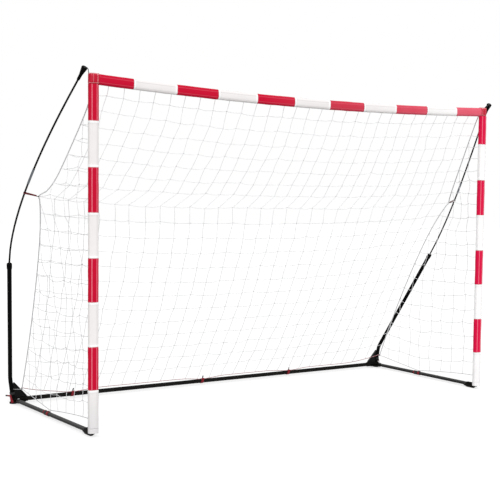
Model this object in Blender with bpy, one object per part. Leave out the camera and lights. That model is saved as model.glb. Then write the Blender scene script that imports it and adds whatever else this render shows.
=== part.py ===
"""Portable bow-style handball goal, nominal 3 m by 2 m.

Metres, +Z up, ground at z = 0. The goal mouth faces -Y and +X is to the right as seen from the
front. The origin is the centre of the goal's footprint, on the ground.

Depths are measured backwards from the line on which the posts stand, and at() turns a depth into
a world position. Left is side -1 and right is side +1.
"""
import math

import bmesh
import bpy
from mathutils import Matrix, Vector

# Overall size
INNER_WIDTH = 3.000         # clear width between the two post sleeves
CORNER_HEIGHT = 2.015       # ground to the top of the crossbar sleeve at its ends
BASE_DEPTH = 1.082          # post line to the back bar's axis
CROSSBAR_SAG = 0.040        # how far the soft crossbar hangs at mid span
POST_LEAN = 0.035           # how far the top corners stand behind the feet
POST_SPLAY = 0.012          # how far outward each top corner is pulled

# Soft PVC sleeves
SLEEVE_WIDTH = 0.066
SLEEVE_THICKNESS = 0.044
CROSSBAR_BANDS = 11
POST_BANDS = 8
SLEEVE_SIDES = 12
BAND_PINCH = 0.965          # section at a sewn seam, as a share of the full section
BAND_SHOULDER = 0.020       # length over which a band fills out from its seam
CUFF_HEIGHT = 0.038         # lowest stretch of each post sleeve, slipped over the foot
CUFF_WALL = 0.004

# Steel base
BAR_RADIUS = 0.014
BAR_WALL = 0.0018
BAR_SIDES = 16
BAR_HEIGHT = 0.025          # axis of the back bar above the ground
BAR_JOINT_X = 0.500         # where the centre tube of the bar meets the outer ones
SPIGOT_LENGTH = 0.060
SPIGOT_WALL = 0.0015
SPIGOT_NECK = 0.004         # length over which the tube narrows inside its shoulder
RAIL_RADIUS = 0.0125
RAIL_WALL = 0.0016
RAIL_HEIGHT = 0.0235        # axis of the side rails above the ground
HINGE_SETBACK = 0.056       # hinge bolt in front of the back bar's axis
RAIL_FRONT_GAP = 0.034      # rail's front end behind the post line
RAIL_HINGE_GAP = 0.030      # rail's rear end in front of the hinge bolt
FOOT_DISC_RADIUS = 0.024
FOOT_DISC_HEIGHT = 0.010
FOOT_DISC_EDGE = 0.002      # chamfer under the disc
SOCKET_RADIUS = 0.0172
SOCKET_LENGTH = 0.098       # back bar socket, from the upright's axis inward
SOCKET_DEPTH = 0.065        # how far the back bar goes into it
HUB_SIDES = 18              # not the bores' count, so that no two edges fall in one line
CUP_RADIUS = 0.018
CUP_FLOOR = 0.007           # solid bottom of the cup under the upright
YOKE_THICKNESS = 0.005
YOKE_MARGIN = 0.001         # yoke's nose outside the tongue's
YOKE_LIP = 0.002
YOKE_CLEAR = 0.004          # from the folded rail back to the yoke's web
YOKE_WEB = 0.061            # web runs straight this far inward from the hinge bolt
YOKE_WEB_RISE = 0.006
YOKE_END = 0.084            # where the web runs out on the socket
YOKE_OUTSET = 0.010         # yoke's outer edge outside the upright's foot
TONGUE_THICKNESS = 0.014
TONGUE_RADIUS = 0.0135
TONGUE_ROOT_WIDTH = 0.0243
KNUCKLE_PLUG = 0.045        # knuckle's spigot inside the rail
KNUCKLE_TAPER = 0.003
BOLT_RADIUS = 0.004
BOLT_END = 0.0005
BOLT_HEAD_RADIUS = 0.0075
BOLT_HEAD_HEIGHT = 0.004
BOLT_HEAD_FLAT = 0.004      # radius of the flat top of the bolt's round head
BOLT_HEAD_SIDE = 0.0024     # straight side of that head
NUT_RADIUS = 0.0075
NUT_HEIGHT = 0.0045
GUSSET_HEIGHT = 0.132
GUSSET_REACH = 0.090        # along the back bar from the upright's axis
GUSSET_THICKNESS = 0.004
GUSSET_RIM = 0.014          # width of the folded rim, across the plate
GUSSET_APEX = 0.006         # flat top of the plate, beside the upright
GUSSET_TOE = 0.004          # height of the plate's inner end
GUSSET_FOLD = 0.003
BUTTON_RADIUS = 0.0035
BUTTON_PROUD = 0.0030
BUTTON_FLANGE_RADIUS = 0.0055
BUTTON_FLANGE_HEIGHT = 0.0012
BUTTON_CROWN = 0.0015
BUTTON_TIP_RADIUS = 0.0021
BUTTON_INSET = 0.020        # hub button's axis from the mouth of the bar socket
SOLE_HEIGHT = 0.010
SOLE_REAR = 0.112           # sole's rear edge behind the post line
SOLE_HALF_WIDTH = 0.020
SOLE_SHORT = 0.011          # half width of the sole's front and rear edges
SOLE_CORNER = 0.010         # length of the cut corners at the front
SOLE_TAPER = 0.020          # and at the rear
SOLE_SETBACK = 0.003        # sole's front edge behind the sleeve's front
FOOT_RADIUS = 0.0168
FOOT_EDGE = 0.001
FOOT_LENGTH = 0.062
FOOT_WEB = 0.018
FOOT_RAMP_DROP = 0.002      # ramp's top under the rail's axis
PEG_LOW = 0.004
PEG_BELOW_CUFF = 0.004      # peg's top below the cuff's
PEG_EDGE = 0.006
PEG_TOP_SCALE = 0.85

# Uprights and bow poles. Slopes are metres sideways or forwards per metre of height.
UPRIGHT_OUTSET = 0.0105     # upright's foot outside the post line
UPRIGHT_RADIUS = 0.0135
UPRIGHT_WALL = 0.0020
UPRIGHT_FOOT_Z = 0.0125
STUB_SLOPE = 0.154
BEND_HEIGHT = 0.160
BEND_RADIUS = 0.100
LEAN_OUT = 0.2241
LEAN_FORWARD = 0.4883
UPRIGHT_TOP_Z = 0.9165
COLLAR_RADIUS = 0.0162
COLLAR_HEIGHT = 0.034
COLLAR_LID = 0.006
COLLAR_EDGE = 0.002
COLLAR_DRAFT = 0.0004
POLE_RADIUS = 0.0055
POLE_SEAT_Z = 0.560         # lower end of the pole, inside the upright
POLE_END_OUTSET = 0.0845    # pole's end outside the post's foot line
POLE_END_DEPTH = 0.076
POLE_END_DROP = 0.043       # pole's end below the top of the crossbar sleeve
CAP_DIRECTION = (-0.236, -0.737, 1.0)
POLE_START_PULL = 0.426     # Bezier handle lengths of the bow
POLE_END_PULL = 0.143
FERRULE_Z = 1.440
FERRULE_LENGTH = 0.098
FERRULE_RADIUS = 0.0070
CAP_LENGTH = 0.086
CAP_NECK = 0.034
CAP_NECK_RADIUS = 0.0085
CAP_NECK_EDGE = 0.001
CAP_MOUTH = 0.003
CAP_TOP_RADIUS = 0.0175
CAP_BRIM = 0.012            # straight rim round the cap's end
CAP_CROWN = 0.004
CAP_SOCKET = 0.052

# Net, cords and straps
CORD_RADIUS = 0.0025
HEM_RADIUS = 0.0022
TWINE = 0.0040
NET_PITCH = 0.178
NET_TOP_BELOW = 0.080       # net's top row below the top of the crossbar sleeve
NET_BASE_Z = 0.085          # level of the lowest row before it follows the hem
NET_TOP_DROP = 0.007        # net's top row below the crossbar's axis
SIDE_APEX_BELOW = 0.085     # the same for where the side net runs out between post and cord
SNAP_SHARE = 0.34           # a knot this near the rear cord, as a share of a mesh, moves onto it
TIE_STRAIGHT = 0.010        # cord runs straight this far above and below its tie
TIE_BEND = 0.090
TIE_RETREAT = 0.007         # net's edge draws back this much at the tie
TIE_Z = 1.326               # where the net's rear corner cords are tied out to the poles
TIE_RISE = 0.019            # the tie meets the pole this much higher
TIE_OUTSET = 0.131
TIE_DEPTH = 0.458
CORNER_Z = 0.100            # rear low corner of the net
CORNER_INSET = 0.016
CORNER_SETBACK = 0.070      # in front of the back bar's axis
LINK_DROP = 0.006           # cord's short link from the corner down to the upright
UPPER_SAG = (0.043, 0.033)  # inward and forward sag of the corner cord above the tie
LOWER_SAG = (0.045, -0.028)
BACK_HEM_Z = 0.062
BACK_HEM_SETBACK = 0.020    # in front of the back bar's axis
BACK_HEM_DIP = 0.012
HEM_FLAT = 0.015            # hem runs level this far to each side of a strap
HEM_DIP_REACH = 0.100
HEM_RISE_START = 1.153      # hem starts to rise to the corners this far from the middle
BACK_STRAPS_X = (-1.135, -0.120, 0.650)
SIDE_HEM_POST_Z = 0.086
SIDE_HEM_DIP_Z = 0.044
RAIL_STRAP_DEPTH = 0.580
STRAP_WIDTH = 0.020
STRAP_THICKNESS = 0.002
LABEL_HEIGHT = 0.024        # black tab sewn on each back strap
LABEL_WIDTH = 0.016
TAB_THICKNESS = 0.0015      # corner tab over the pole's cap
TAB_WIDTH = 0.014
TAB_CLEAR = 0.002
TAB_REACH = 0.0105          # how far the tab runs past the middle of the cap's end
TAB_ROOT = 0.012            # how far the tab reaches into the corner patch
TAB_DROP = 0.006
PATCH_SHOULDER = 0.010
TIE_STRAP_WIDTH = 0.010
TIE_STRAP_THICKNESS = 0.0015
TIE_SLACK = 0.0014
CORNER_STRAP_Z = 0.066
CORNER_STRAP_TURN = math.radians(150)   # to each side, from the outer side of the upright
TAIL_LENGTH = 0.030
TAIL_DROOP = 0.006
TAIL_WIDTH = 0.016
TAIL_THICKNESS = 0.002

# Clearances
GAP = 0.0003                # between pieces that touch
SLIDE_GAP = 0.0004          # between pieces that slide or turn on each other

# Worked out from the sizes above
POST_X = INNER_WIDTH / 2 + SLEEVE_WIDTH / 2
UPRIGHT_X = POST_X + UPRIGHT_OUTSET
MID_DEPTH = (BASE_DEPTH + FOOT_DISC_RADIUS - SLEEVE_THICKNESS / 2) / 2
HINGE_DEPTH = BASE_DEPTH - HINGE_SETBACK
CROSSBAR_HALF = POST_X + POST_SPLAY + SLEEVE_WIDTH / 2
CORNER_BOTTOM = CORNER_HEIGHT - SLEEVE_WIDTH
CORNER_DEPTH = BASE_DEPTH - CORNER_SETBACK
POLE_END_Z = CORNER_HEIGHT - POLE_END_DROP
NET_TOP_Z = CORNER_HEIGHT - NET_TOP_BELOW
SIDE_APEX_Z = CORNER_HEIGHT - SIDE_APEX_BELOW
BACK_HEM_DEPTH = BASE_DEPTH - BACK_HEM_SETBACK
TWINE_REACH = TWINE / math.sqrt(2)      # from a strand's middle to its edge
SIDE_EDGE_OFFSET = CORD_RADIUS + TWINE_REACH + 2 * GAP
BACK_EDGE_OFFSET = CORD_RADIUS + TWINE / 2 + 3 * GAP
HEM_OFFSET = HEM_RADIUS + STRAP_THICKNESS + TWINE_REACH + GAP

SIDES = {"left": -1, "right": 1}


def at(x, depth, z):
    """World position of a point given by its depth behind the post line."""
    return Vector((x, depth - MID_DEPTH, z))


# Materials


def make_material(name, color, roughness, metallic=0.0):
    """A plain Principled material."""
    material = bpy.data.materials.new(name)
    material.use_nodes = True
    shader = material.node_tree.nodes["Principled BSDF"]
    shader.inputs["Base Color"].default_value = (*color, 1.0)
    shader.inputs["Roughness"].default_value = roughness
    shader.inputs["Metallic"].default_value = metallic
    material.diffuse_color = (*color, 1.0)
    return material


# Mesh helpers


def add_object(name, mesh, material, origin=None, smooth_angle=40):
    """Link a mesh as an object, with its origin moved to a joint's axis where one is given."""
    obj = bpy.data.objects.new(name, mesh)
    bpy.context.scene.collection.objects.link(obj)
    if origin is not None:
        mesh.transform(Matrix.Translation(-origin))
        obj.location = origin
    mesh.materials.append(material)
    mesh.shade_smooth()
    mesh.set_sharp_from_angle(angle=math.radians(smooth_angle))
    return obj


def mesh_from(bm, name):
    """Turn a bmesh into a mesh with its faces pointing out."""
    bmesh.ops.recalc_face_normals(bm, faces=bm.faces[:])
    mesh = bpy.data.meshes.new(name)
    bm.to_mesh(mesh)
    bm.free()
    return mesh


def look_along(direction, origin):
    """A matrix that carries local +Z onto a direction and the local origin onto a point."""
    turn = Vector(direction).to_track_quat("Z", "Y").to_matrix().to_4x4()
    return Matrix.Translation(origin) @ turn


def turned(name, profile, axis, origin, sides, bored=False):
    """Turn a profile of (distance along the axis, radius) about an axis through a point.

    A bored profile is a closed loop that never meets the axis.
    """
    bm = bmesh.new()
    verts = [bm.verts.new((radius, 0.0, along)) for along, radius in profile]
    edges = [bm.edges.new(pair) for pair in zip(verts, verts[1:])]
    if bored:
        edges.append(bm.edges.new((verts[-1], verts[0])))
    bmesh.ops.spin(bm, geom=verts + edges, cent=(0, 0, 0), axis=(0, 0, 1), angle=2 * math.pi,
                   steps=sides)
    bmesh.ops.remove_doubles(bm, verts=bm.verts[:], dist=1e-6)
    bmesh.ops.transform(bm, matrix=look_along(axis, origin), verts=bm.verts[:])
    return mesh_from(bm, name)


def tube_profile(start, end, outer, inner):
    """Closed profile of a straight pipe."""
    return [(start, outer), (end, outer), (end, inner), (start, inner)]


def extruded(name, outline, thickness, matrix, hole=None):
    """Extrude a flat outline, in local XY and centred on local Z, with an optional hole."""
    bm = bmesh.new()
    loops = [outline] if hole is None else [outline, hole]
    low, high = -thickness / 2, thickness / 2
    rings = []
    for loop in loops:
        rings.append(([bm.verts.new((x, y, low)) for x, y in loop],
                      [bm.verts.new((x, y, high)) for x, y in loop]))
    for bottom, top in rings:
        for i in range(len(bottom)):
            j = (i + 1) % len(bottom)
            bm.faces.new((bottom[i], bottom[j], top[j], top[i]))
    if hole is None:
        bm.faces.new(rings[0][0][::-1])
        bm.faces.new(rings[0][1])
    else:
        for level in (0, 1):
            outer, inner = rings[0][level], rings[1][level]
            for i in range(len(outer)):
                j = (i + 1) % len(outer)
                bm.faces.new((outer[i], outer[j], inner[j], inner[i]))
    bmesh.ops.transform(bm, matrix=matrix, verts=bm.verts[:])
    return mesh_from(bm, name)


def frames_along(points, first_side, upright=None):
    """Two cross directions at each point, carried along without twist, or alike at all of them."""
    frames = []
    side = Vector(first_side)
    for i in range(len(points)):
        before = points[max(i - 1, 0)]
        after = points[min(i + 1, len(points) - 1)]
        tangent = Vector(upright) if upright else (after - before).normalized()
        side = (side - tangent * side.dot(tangent)).normalized()
        frames.append((side, tangent.cross(side)))
    return frames


def add_swept(bm, points, sections, first_side, upright=None, cap_ends=True):
    """Sweep one closed section per point and return the rings of vertices.

    With an upright direction every section stays square to it, so that straight ends meet flat.
    """
    rings = []
    for point, section, frame in zip(points, sections, frames_along(points, first_side, upright)):
        side, other = frame
        rings.append([bm.verts.new(point + side * u + other * v) for u, v in section])
    for ring, following in zip(rings, rings[1:]):
        for i in range(len(ring)):
            j = (i + 1) % len(ring)
            bm.faces.new((ring[i], ring[j], following[j], following[i]))
    if cap_ends:
        bm.faces.new(rings[0][::-1])
        bm.faces.new(rings[-1])
    return rings


def circle(radius, sides):
    """Points of a regular polygon with a given radius."""
    return [(radius * math.cos(2 * math.pi * i / sides), radius * math.sin(2 * math.pi * i / sides))
            for i in range(sides)]


def swept_pipe(name, points, outer, inner, sides):
    """A bent pipe, open at both ends."""
    bm = bmesh.new()
    shells = []
    for radius in (outer, inner):
        section = circle(radius, sides)
        shells.append(add_swept(bm, points, [section] * len(points), (0, 1, 0), cap_ends=False))
    for end in (0, -1):
        outer_ring, inner_ring = shells[0][end], shells[1][end]
        for i in range(sides):
            j = (i + 1) % sides
            bm.faces.new((outer_ring[i], outer_ring[j], inner_ring[j], inner_ring[i]))
    return mesh_from(bm, name)


def round_rod(name, points, radius, material, resolution):
    """A solid rod or cord: a poly curve with a round bevel and filled ends."""
    curve = bpy.data.curves.new(name, "CURVE")
    curve.dimensions = "3D"
    curve.bevel_depth = radius
    curve.bevel_resolution = resolution
    curve.use_fill_caps = True
    spline = curve.splines.new("POLY")
    spline.points.add(len(points) - 1)
    for spline_point, point in zip(spline.points, points):
        spline_point.co = (*point, 1.0)
    spline.use_smooth = True
    obj = bpy.data.objects.new(name, curve)
    bpy.context.scene.collection.objects.link(obj)
    curve.materials.append(material)
    return obj


def boolean(obj, operand, operation):
    """Add an exact Boolean with a hidden operand."""
    operand.hide_render = True
    operand.display_type = "WIRE"
    modifier = obj.modifiers.new(operation.lower(), "BOOLEAN")
    modifier.operation = operation
    modifier.solver = "EXACT"
    modifier.object = operand


def sleeve_section(width, thickness, scale=1.0):
    """Rounded soft section, flatter on its broad faces than an ellipse."""
    exponent = 2 / 2.8
    points = []
    for i in range(SLEEVE_SIDES):
        angle = 2 * math.pi * (i + 0.5) / SLEEVE_SIDES
        c, s = math.cos(angle), math.sin(angle)
        x = math.copysign(abs(c) ** exponent, c) * width / 2
        y = math.copysign(abs(s) ** exponent, s) * thickness / 2
        points.append((x * scale, y * scale))
    return points


def hull_loop(distance, radius_a, radius_b, steps):
    """Outline that clears two circles, one at the origin and one at a distance along local X."""
    start = math.pi / 2 - math.asin((radius_a - radius_b) / distance)
    points = []
    for centre, radius, first, sweep in ((distance, radius_b, -start, 2 * start),
                                         (0.0, radius_a, start, 2 * (math.pi - start))):
        reach = radius / math.cos(sweep / steps / 2)
        for i in range(steps + 1):
            angle = first + sweep * i / steps
            points.append((centre + reach * math.cos(angle), reach * math.sin(angle)))
    return points


def strap_loop(name, point_a, radius_a, point_b, radius_b, normal, width, thickness, steps=7):
    """A webbing loop that is drawn tight round two round pieces."""
    along = point_b - point_a
    normal = Vector(normal).normalized()
    along = along - normal * along.dot(normal)
    x_axis = along.normalized()
    turn = Matrix((x_axis, normal.cross(x_axis), normal)).transposed().to_4x4()
    inner = hull_loop(along.length, radius_a + GAP, radius_b + GAP, steps)
    outer = hull_loop(along.length, radius_a + GAP + thickness, radius_b + GAP + thickness, steps)
    return extruded(name, outer, width, Matrix.Translation(point_a) @ turn, hole=inner)


# Lines that other pieces follow


def post_point(side, z):
    """Axis of a post sleeve at a height."""
    share = z / CORNER_HEIGHT
    return at(side * (POST_X + POST_SPLAY * share), POST_LEAN * share, z)


def crossbar_point(x):
    """Axis of the crossbar sleeve at a distance from the middle."""
    share = min(abs(x) / CROSSBAR_HALF, 1.0)
    z = CORNER_HEIGHT - SLEEVE_WIDTH / 2 - CROSSBAR_SAG * (1 - share ** 2)
    return at(x, POST_LEAN, z)


def stub_x(z):
    """Distance of the upright's axis from the middle below its bend."""
    return UPRIGHT_X + STUB_SLOPE * (z - UPRIGHT_FOOT_Z)


def upright_directions():
    """Unit directions of the right upright below and above its bend."""
    lower = Vector((STUB_SLOPE, 0.0, 1.0)).normalized()
    upper = Vector((LEAN_OUT, -LEAN_FORWARD, 1.0)).normalized()
    return lower, upper


def mirrored(points, side):
    """Right-hand points, or their mirror image for the left."""
    return [Vector((side * p.x, p.y, p.z)) for p in points]


def upright_path():
    """Axis of the right upright tube, with a round bend."""
    lower, upper = upright_directions()
    corner = at(stub_x(BEND_HEIGHT), BASE_DEPTH, BEND_HEIGHT)
    half_turn = lower.angle(upper) / 2
    tangent = BEND_RADIUS * math.tan(half_turn)
    start, end = corner - lower * tangent, corner + upper * tangent
    inward = (upper - lower).normalized()
    centre = corner + inward * (BEND_RADIUS / math.cos(half_turn))
    points = [at(UPRIGHT_X, BASE_DEPTH, UPRIGHT_FOOT_Z)]
    steps = 4
    for i in range(steps + 1):
        spoke = (start - centre).lerp(end - centre, i / steps).normalized()
        points.append(centre + spoke * BEND_RADIUS)
    points.append(corner + upper * ((UPRIGHT_TOP_Z - BEND_HEIGHT) / upper.z))
    return points


def bow_path():
    """Axis of the right bow pole from its seat in the upright to its end in the cap."""
    _, upper = upright_directions()
    mouth = upright_path()[-1]
    seat = mouth - upper * ((UPRIGHT_TOP_Z - POLE_SEAT_Z) / upper.z)
    tip = at(POST_X + POLE_END_OUTSET, POLE_END_DEPTH, POLE_END_Z)
    cap = Vector(CAP_DIRECTION).normalized()
    handles = (mouth, mouth + upper * POLE_START_PULL, tip - cap * POLE_END_PULL, tip)
    points = [seat, mouth - upper * COLLAR_HEIGHT, mouth + upper * COLLAR_HEIGHT / 2]
    steps = 26
    for i in range(2, steps + 1):
        t = i / steps
        weights = ((1 - t) ** 3, 3 * t * (1 - t) ** 2, 3 * t ** 2 * (1 - t), t ** 3)
        points.append(sum((h * w for h, w in zip(handles, weights)), Vector()))
    points.append(tip + cap * (CAP_SOCKET - GAP))
    return points


def path_between(points, z_low, z_high):
    """The stretch of a rising path between two heights."""
    stretch = []
    for before, after in zip(points, points[1:]):
        for z in (z_low, z_high):
            if before.z < z <= after.z:
                stretch.append(before.lerp(after, (z - before.z) / (after.z - before.z)))
        if z_low < after.z < z_high:
            stretch.append(after)
    ordered = sorted(stretch, key=lambda p: p.z)
    if points[0].z >= z_low:
        ordered.insert(0, points[0])
    return ordered


def bow_point(z):
    """Point of the right bow pole at a height, and the pole's direction there."""
    points = bow_path()
    for before, after in zip(points, points[1:]):
        if before.z < z <= after.z:
            share = (z - before.z) / (after.z - before.z)
            return before.lerp(after, share), (after - before).normalized()
    raise ValueError("no pole at this height")


def cord_anchors():
    """Top, tie and low corner of the right rear cord of the net."""
    top_depth = POST_LEAN + SLEEVE_THICKNESS / 2 + CORD_RADIUS + GAP
    top = at(POST_X + POST_SPLAY, top_depth, CORNER_HEIGHT - SLEEVE_WIDTH / 2)
    tie = at(POST_X + TIE_OUTSET, TIE_DEPTH, TIE_Z)
    low = at(POST_X - CORNER_INSET, CORNER_DEPTH, CORNER_Z)
    return top, tie, low


def tie_line():
    """Point on the right pole where the tie goes round it, and the direction through its loop."""
    _, tie, _ = cord_anchors()
    pole, direction = bow_point(TIE_Z + TIE_RISE)
    link = (tie - pole).normalized()
    return pole, (direction - link * direction.dot(link)).normalized()


def cord_point(z):
    """Point of the right rear cord at a height. It sags between its ends and the tie."""
    top, tie, low = cord_anchors()
    if abs(z - tie.z) < TIE_STRAIGHT + GAP:
        _, through = tie_line()
        return tie + through * ((z - tie.z) / through.z)
    if z >= tie.z:
        t = (top.z - z) / (top.z - tie.z)
        base = top.lerp(tie, t)
        bulge = (1 - (1 - t) ** 8) * (1 - t ** 14)
        sag = UPPER_SAG
    else:
        t = (tie.z - z) / (tie.z - low.z)
        base = tie.lerp(low, t)
        bulge = (1 - (1 - t) ** 8) * (1 - t ** 3)
        sag = LOWER_SAG
    return base - Vector((sag[0] * bulge, sag[1] * bulge, 0.0))


def side_hem_z(depth):
    """Height of the side net's hem: low at the rail strap, higher at the post and the corner."""
    post_depth = SLEEVE_THICKNESS / 2
    if depth < RAIL_STRAP_DEPTH:
        share = (depth - post_depth) / (RAIL_STRAP_DEPTH - post_depth)
        return SIDE_HEM_POST_Z + (SIDE_HEM_DIP_Z - SIDE_HEM_POST_Z) * max(share, 0.0)
    share = (depth - RAIL_STRAP_DEPTH) / (CORNER_DEPTH - RAIL_STRAP_DEPTH)
    return SIDE_HEM_DIP_Z + (CORNER_Z - SIDE_HEM_DIP_Z) * min(share, 1.0)


def back_hem_point(x):
    """Axis of the back net's hem: it rises to the corners and dips at each strap."""
    _, _, low = cord_anchors()
    share = max((abs(x) - HEM_RISE_START) / (low.x - HEM_RISE_START), 0.0)
    z = BACK_HEM_Z + (CORNER_Z - BACK_HEM_Z) * share ** 2
    for strap_x in BACK_STRAPS_X:
        away = max(abs(x - strap_x) - HEM_FLAT, 0.0)
        z -= BACK_HEM_DIP * math.exp(-(away / HEM_DIP_REACH) ** 2)
    depth = BACK_HEM_DEPTH + (CORNER_DEPTH - BACK_HEM_DEPTH) * share ** 2
    return at(x, depth, z)


def hem_stations():
    """Places along the back hem where it bends."""
    _, _, low = cord_anchors()
    reach = low.x - CORD_RADIUS - 2 * GAP
    places = [side * reach * share for side in (-1, 1) for share in (1, 0.94, 0.87, 0.8)]
    for strap_x in BACK_STRAPS_X:
        for away in (HEM_FLAT, HEM_FLAT + HEM_DIP_REACH * 0.6, HEM_FLAT + HEM_DIP_REACH * 1.4):
            places += [strap_x - away, strap_x + away]
    return sorted(places)


# Steel base


def make_back_bar(steel):
    """Three tubes joined by reduced spigots that plug into the centre tube."""
    inner = BAR_RADIUS - BAR_WALL
    spigot_outer = inner - GAP
    spigot_inner = spigot_outer - SPIGOT_WALL
    origin = at(0, BASE_DEPTH, BAR_HEIGHT)
    length = 2 * BAR_JOINT_X
    centre = turned("back_bar_centre", tube_profile(-length / 2, length / 2, BAR_RADIUS, inner),
                    (1, 0, 0), origin, BAR_SIDES, bored=True)
    bars = {"centre": add_object("back_bar_centre", centre, steel)}
    outer_end = stub_x(BAR_HEIGHT) - (SOCKET_LENGTH - SOCKET_DEPTH)
    for name, side in SIDES.items():
        shoulder = BAR_JOINT_X + GAP
        tip = BAR_JOINT_X - SPIGOT_LENGTH
        profile = [(outer_end, BAR_RADIUS), (outer_end, inner), (shoulder + SPIGOT_NECK, inner),
                   (shoulder, spigot_inner), (tip, spigot_inner), (tip, spigot_outer),
                   (shoulder, spigot_outer), (shoulder, BAR_RADIUS)]
        mesh = turned(f"back_bar_{name}", profile, (side, 0, 0), origin, BAR_SIDES, bored=True)
        bars[name] = add_object(f"back_bar_{name}", mesh, steel)
    return bars


def button_places():
    """For each snap button: its side, distance from the middle, and the radii it spans."""
    hub_x = stub_x(BAR_HEIGHT) - SOCKET_LENGTH + BUTTON_INSET
    joint_x = BAR_JOINT_X - SPIGOT_LENGTH / 2
    bar_bore = BAR_RADIUS - BAR_WALL
    spigot_bore = bar_bore - GAP - SPIGOT_WALL
    places = {}
    for name, side in SIDES.items():
        places[f"{name}_hub_button"] = (name, side * hub_x, SOCKET_RADIUS, bar_bore)
        places[f"{name}_bar_button"] = (name, side * joint_x, BAR_RADIUS, spigot_bore)
    return places


def make_buttons(bars, hubs, chrome):
    """Spring snap buttons that point to the rear, and the holes they stand in."""
    for name, (bar, x, outer, bore) in button_places().items():
        centre = at(x, BASE_DEPTH, BAR_HEIGHT)
        hole_radius = BUTTON_RADIUS + SLIDE_GAP
        reach = 2 * SOCKET_RADIUS
        hole = turned(f"{name}_hole", [(0, 0), (0, hole_radius), (reach, hole_radius), (reach, 0)],
                      (0, 1, 0), centre, 12)
        cutter = add_object(f"{name}_hole", hole, chrome)
        boolean(bars[bar], cutter, "DIFFERENCE")
        boolean(hubs[bar] if "hub" in name else bars["centre"], cutter, "DIFFERENCE")
        flat_bore = bore * math.cos(math.pi / BAR_SIDES)
        flange = math.sqrt(flat_bore ** 2 - BUTTON_FLANGE_RADIUS ** 2) - GAP
        top = outer + BUTTON_PROUD
        profile = [(flange - BUTTON_FLANGE_HEIGHT, 0),
                   (flange - BUTTON_FLANGE_HEIGHT, BUTTON_FLANGE_RADIUS),
                   (flange, BUTTON_FLANGE_RADIUS), (flange, BUTTON_RADIUS),
                   (top - BUTTON_CROWN, BUTTON_RADIUS), (top, BUTTON_TIP_RADIUS), (top, 0)]
        mesh = turned(name, profile, (0, 1, 0), centre, 12)
        add_object(name, mesh, chrome, origin=centre)


def yoke_outline(side):
    """Outline of a yoke plate from the bar socket forward to the hinge bolt, seen from above."""
    nose = TONGUE_RADIUS + YOKE_MARGIN
    bolt_y = HINGE_DEPTH - MID_DEPTH
    root = BASE_DEPTH - MID_DEPTH
    shoulder = bolt_y + RAIL_RADIUS + YOKE_CLEAR
    points = [(side * (UPRIGHT_X + YOKE_OUTSET), root)]
    for i in range(7):
        angle = -math.pi * i / 6
        points.append((side * (POST_X + nose * math.cos(angle)), bolt_y + nose * math.sin(angle)))
    points.append((side * (POST_X - nose - YOKE_LIP), shoulder))
    points.append((side * (POST_X - YOKE_WEB), shoulder + YOKE_WEB_RISE))
    points.append((side * (POST_X - YOKE_END), root))
    return points


def plain_rod(start, end, radius):
    """Profile of a solid round bar."""
    return [(start, 0), (start, radius), (end, radius), (end, 0)]


def make_hub(name, side, steel):
    """Rear corner: foot disc, cup for the upright, socket for the bar and yoke for the rail."""
    cup_axis = Vector((side * STUB_SLOPE, 0, 1)).normalized()
    bar_axis = at(side * stub_x(BAR_HEIGHT), BASE_DEPTH, BAR_HEIGHT)
    cup_foot = at(side * UPRIGHT_X, BASE_DEPTH, UPRIGHT_FOOT_Z)
    hinge = at(side * POST_X, HINGE_DEPTH, RAIL_HEIGHT)
    disc = [(0, 0), (0, FOOT_DISC_RADIUS - FOOT_DISC_EDGE), (FOOT_DISC_EDGE, FOOT_DISC_RADIUS),
            (FOOT_DISC_HEIGHT, FOOT_DISC_RADIUS), (FOOT_DISC_HEIGHT, 0)]
    node = f"{name}_corner_hub"
    hub = add_object(node, turned(node, disc, (0, 0, 1), at(side * UPRIGHT_X, BASE_DEPTH, 0), 20), steel)

    cup_top = BAR_HEIGHT + SOCKET_RADIUS - UPRIGHT_FOOT_Z - CUP_RADIUS * STUB_SLOPE
    inward = (-side, 0, 0)
    added = [turned("cup", plain_rod(-CUP_FLOOR, cup_top, CUP_RADIUS), cup_axis, cup_foot, HUB_SIDES),
             turned("socket", plain_rod(0, SOCKET_LENGTH, SOCKET_RADIUS), inward, bar_axis, HUB_SIDES)]
    for level in (-1, 1):
        z = RAIL_HEIGHT + level * (TONGUE_THICKNESS / 2 + SLIDE_GAP + YOKE_THICKNESS / 2)
        added.append(extruded("yoke", yoke_outline(side), YOKE_THICKNESS, Matrix.Translation((0, 0, z))))
    for mesh in added:
        boolean(hub, add_object(f"{name}_hub_add", mesh, steel), "UNION")

    bar_bore = plain_rod(SOCKET_LENGTH - SOCKET_DEPTH - GAP, 2 * SOCKET_LENGTH, BAR_RADIUS + GAP)
    cut = [turned("cup_bore", plain_rod(-GAP, 2 * cup_top, UPRIGHT_RADIUS + GAP), cup_axis, cup_foot, 16),
           turned("bar_bore", bar_bore, inward, bar_axis, 16),
           turned("bolt_hole", plain_rod(-BAR_HEIGHT, BAR_HEIGHT, BOLT_RADIUS + SLIDE_GAP), (0, 0, 1),
                  hinge, 12)]
    bores = bmesh.new()
    for mesh in cut:
        bores.from_mesh(mesh)
    boolean(hub, add_object(f"{name}_hub_cut", mesh_from(bores, "bores"), steel), "DIFFERENCE")
    return hub


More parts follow.
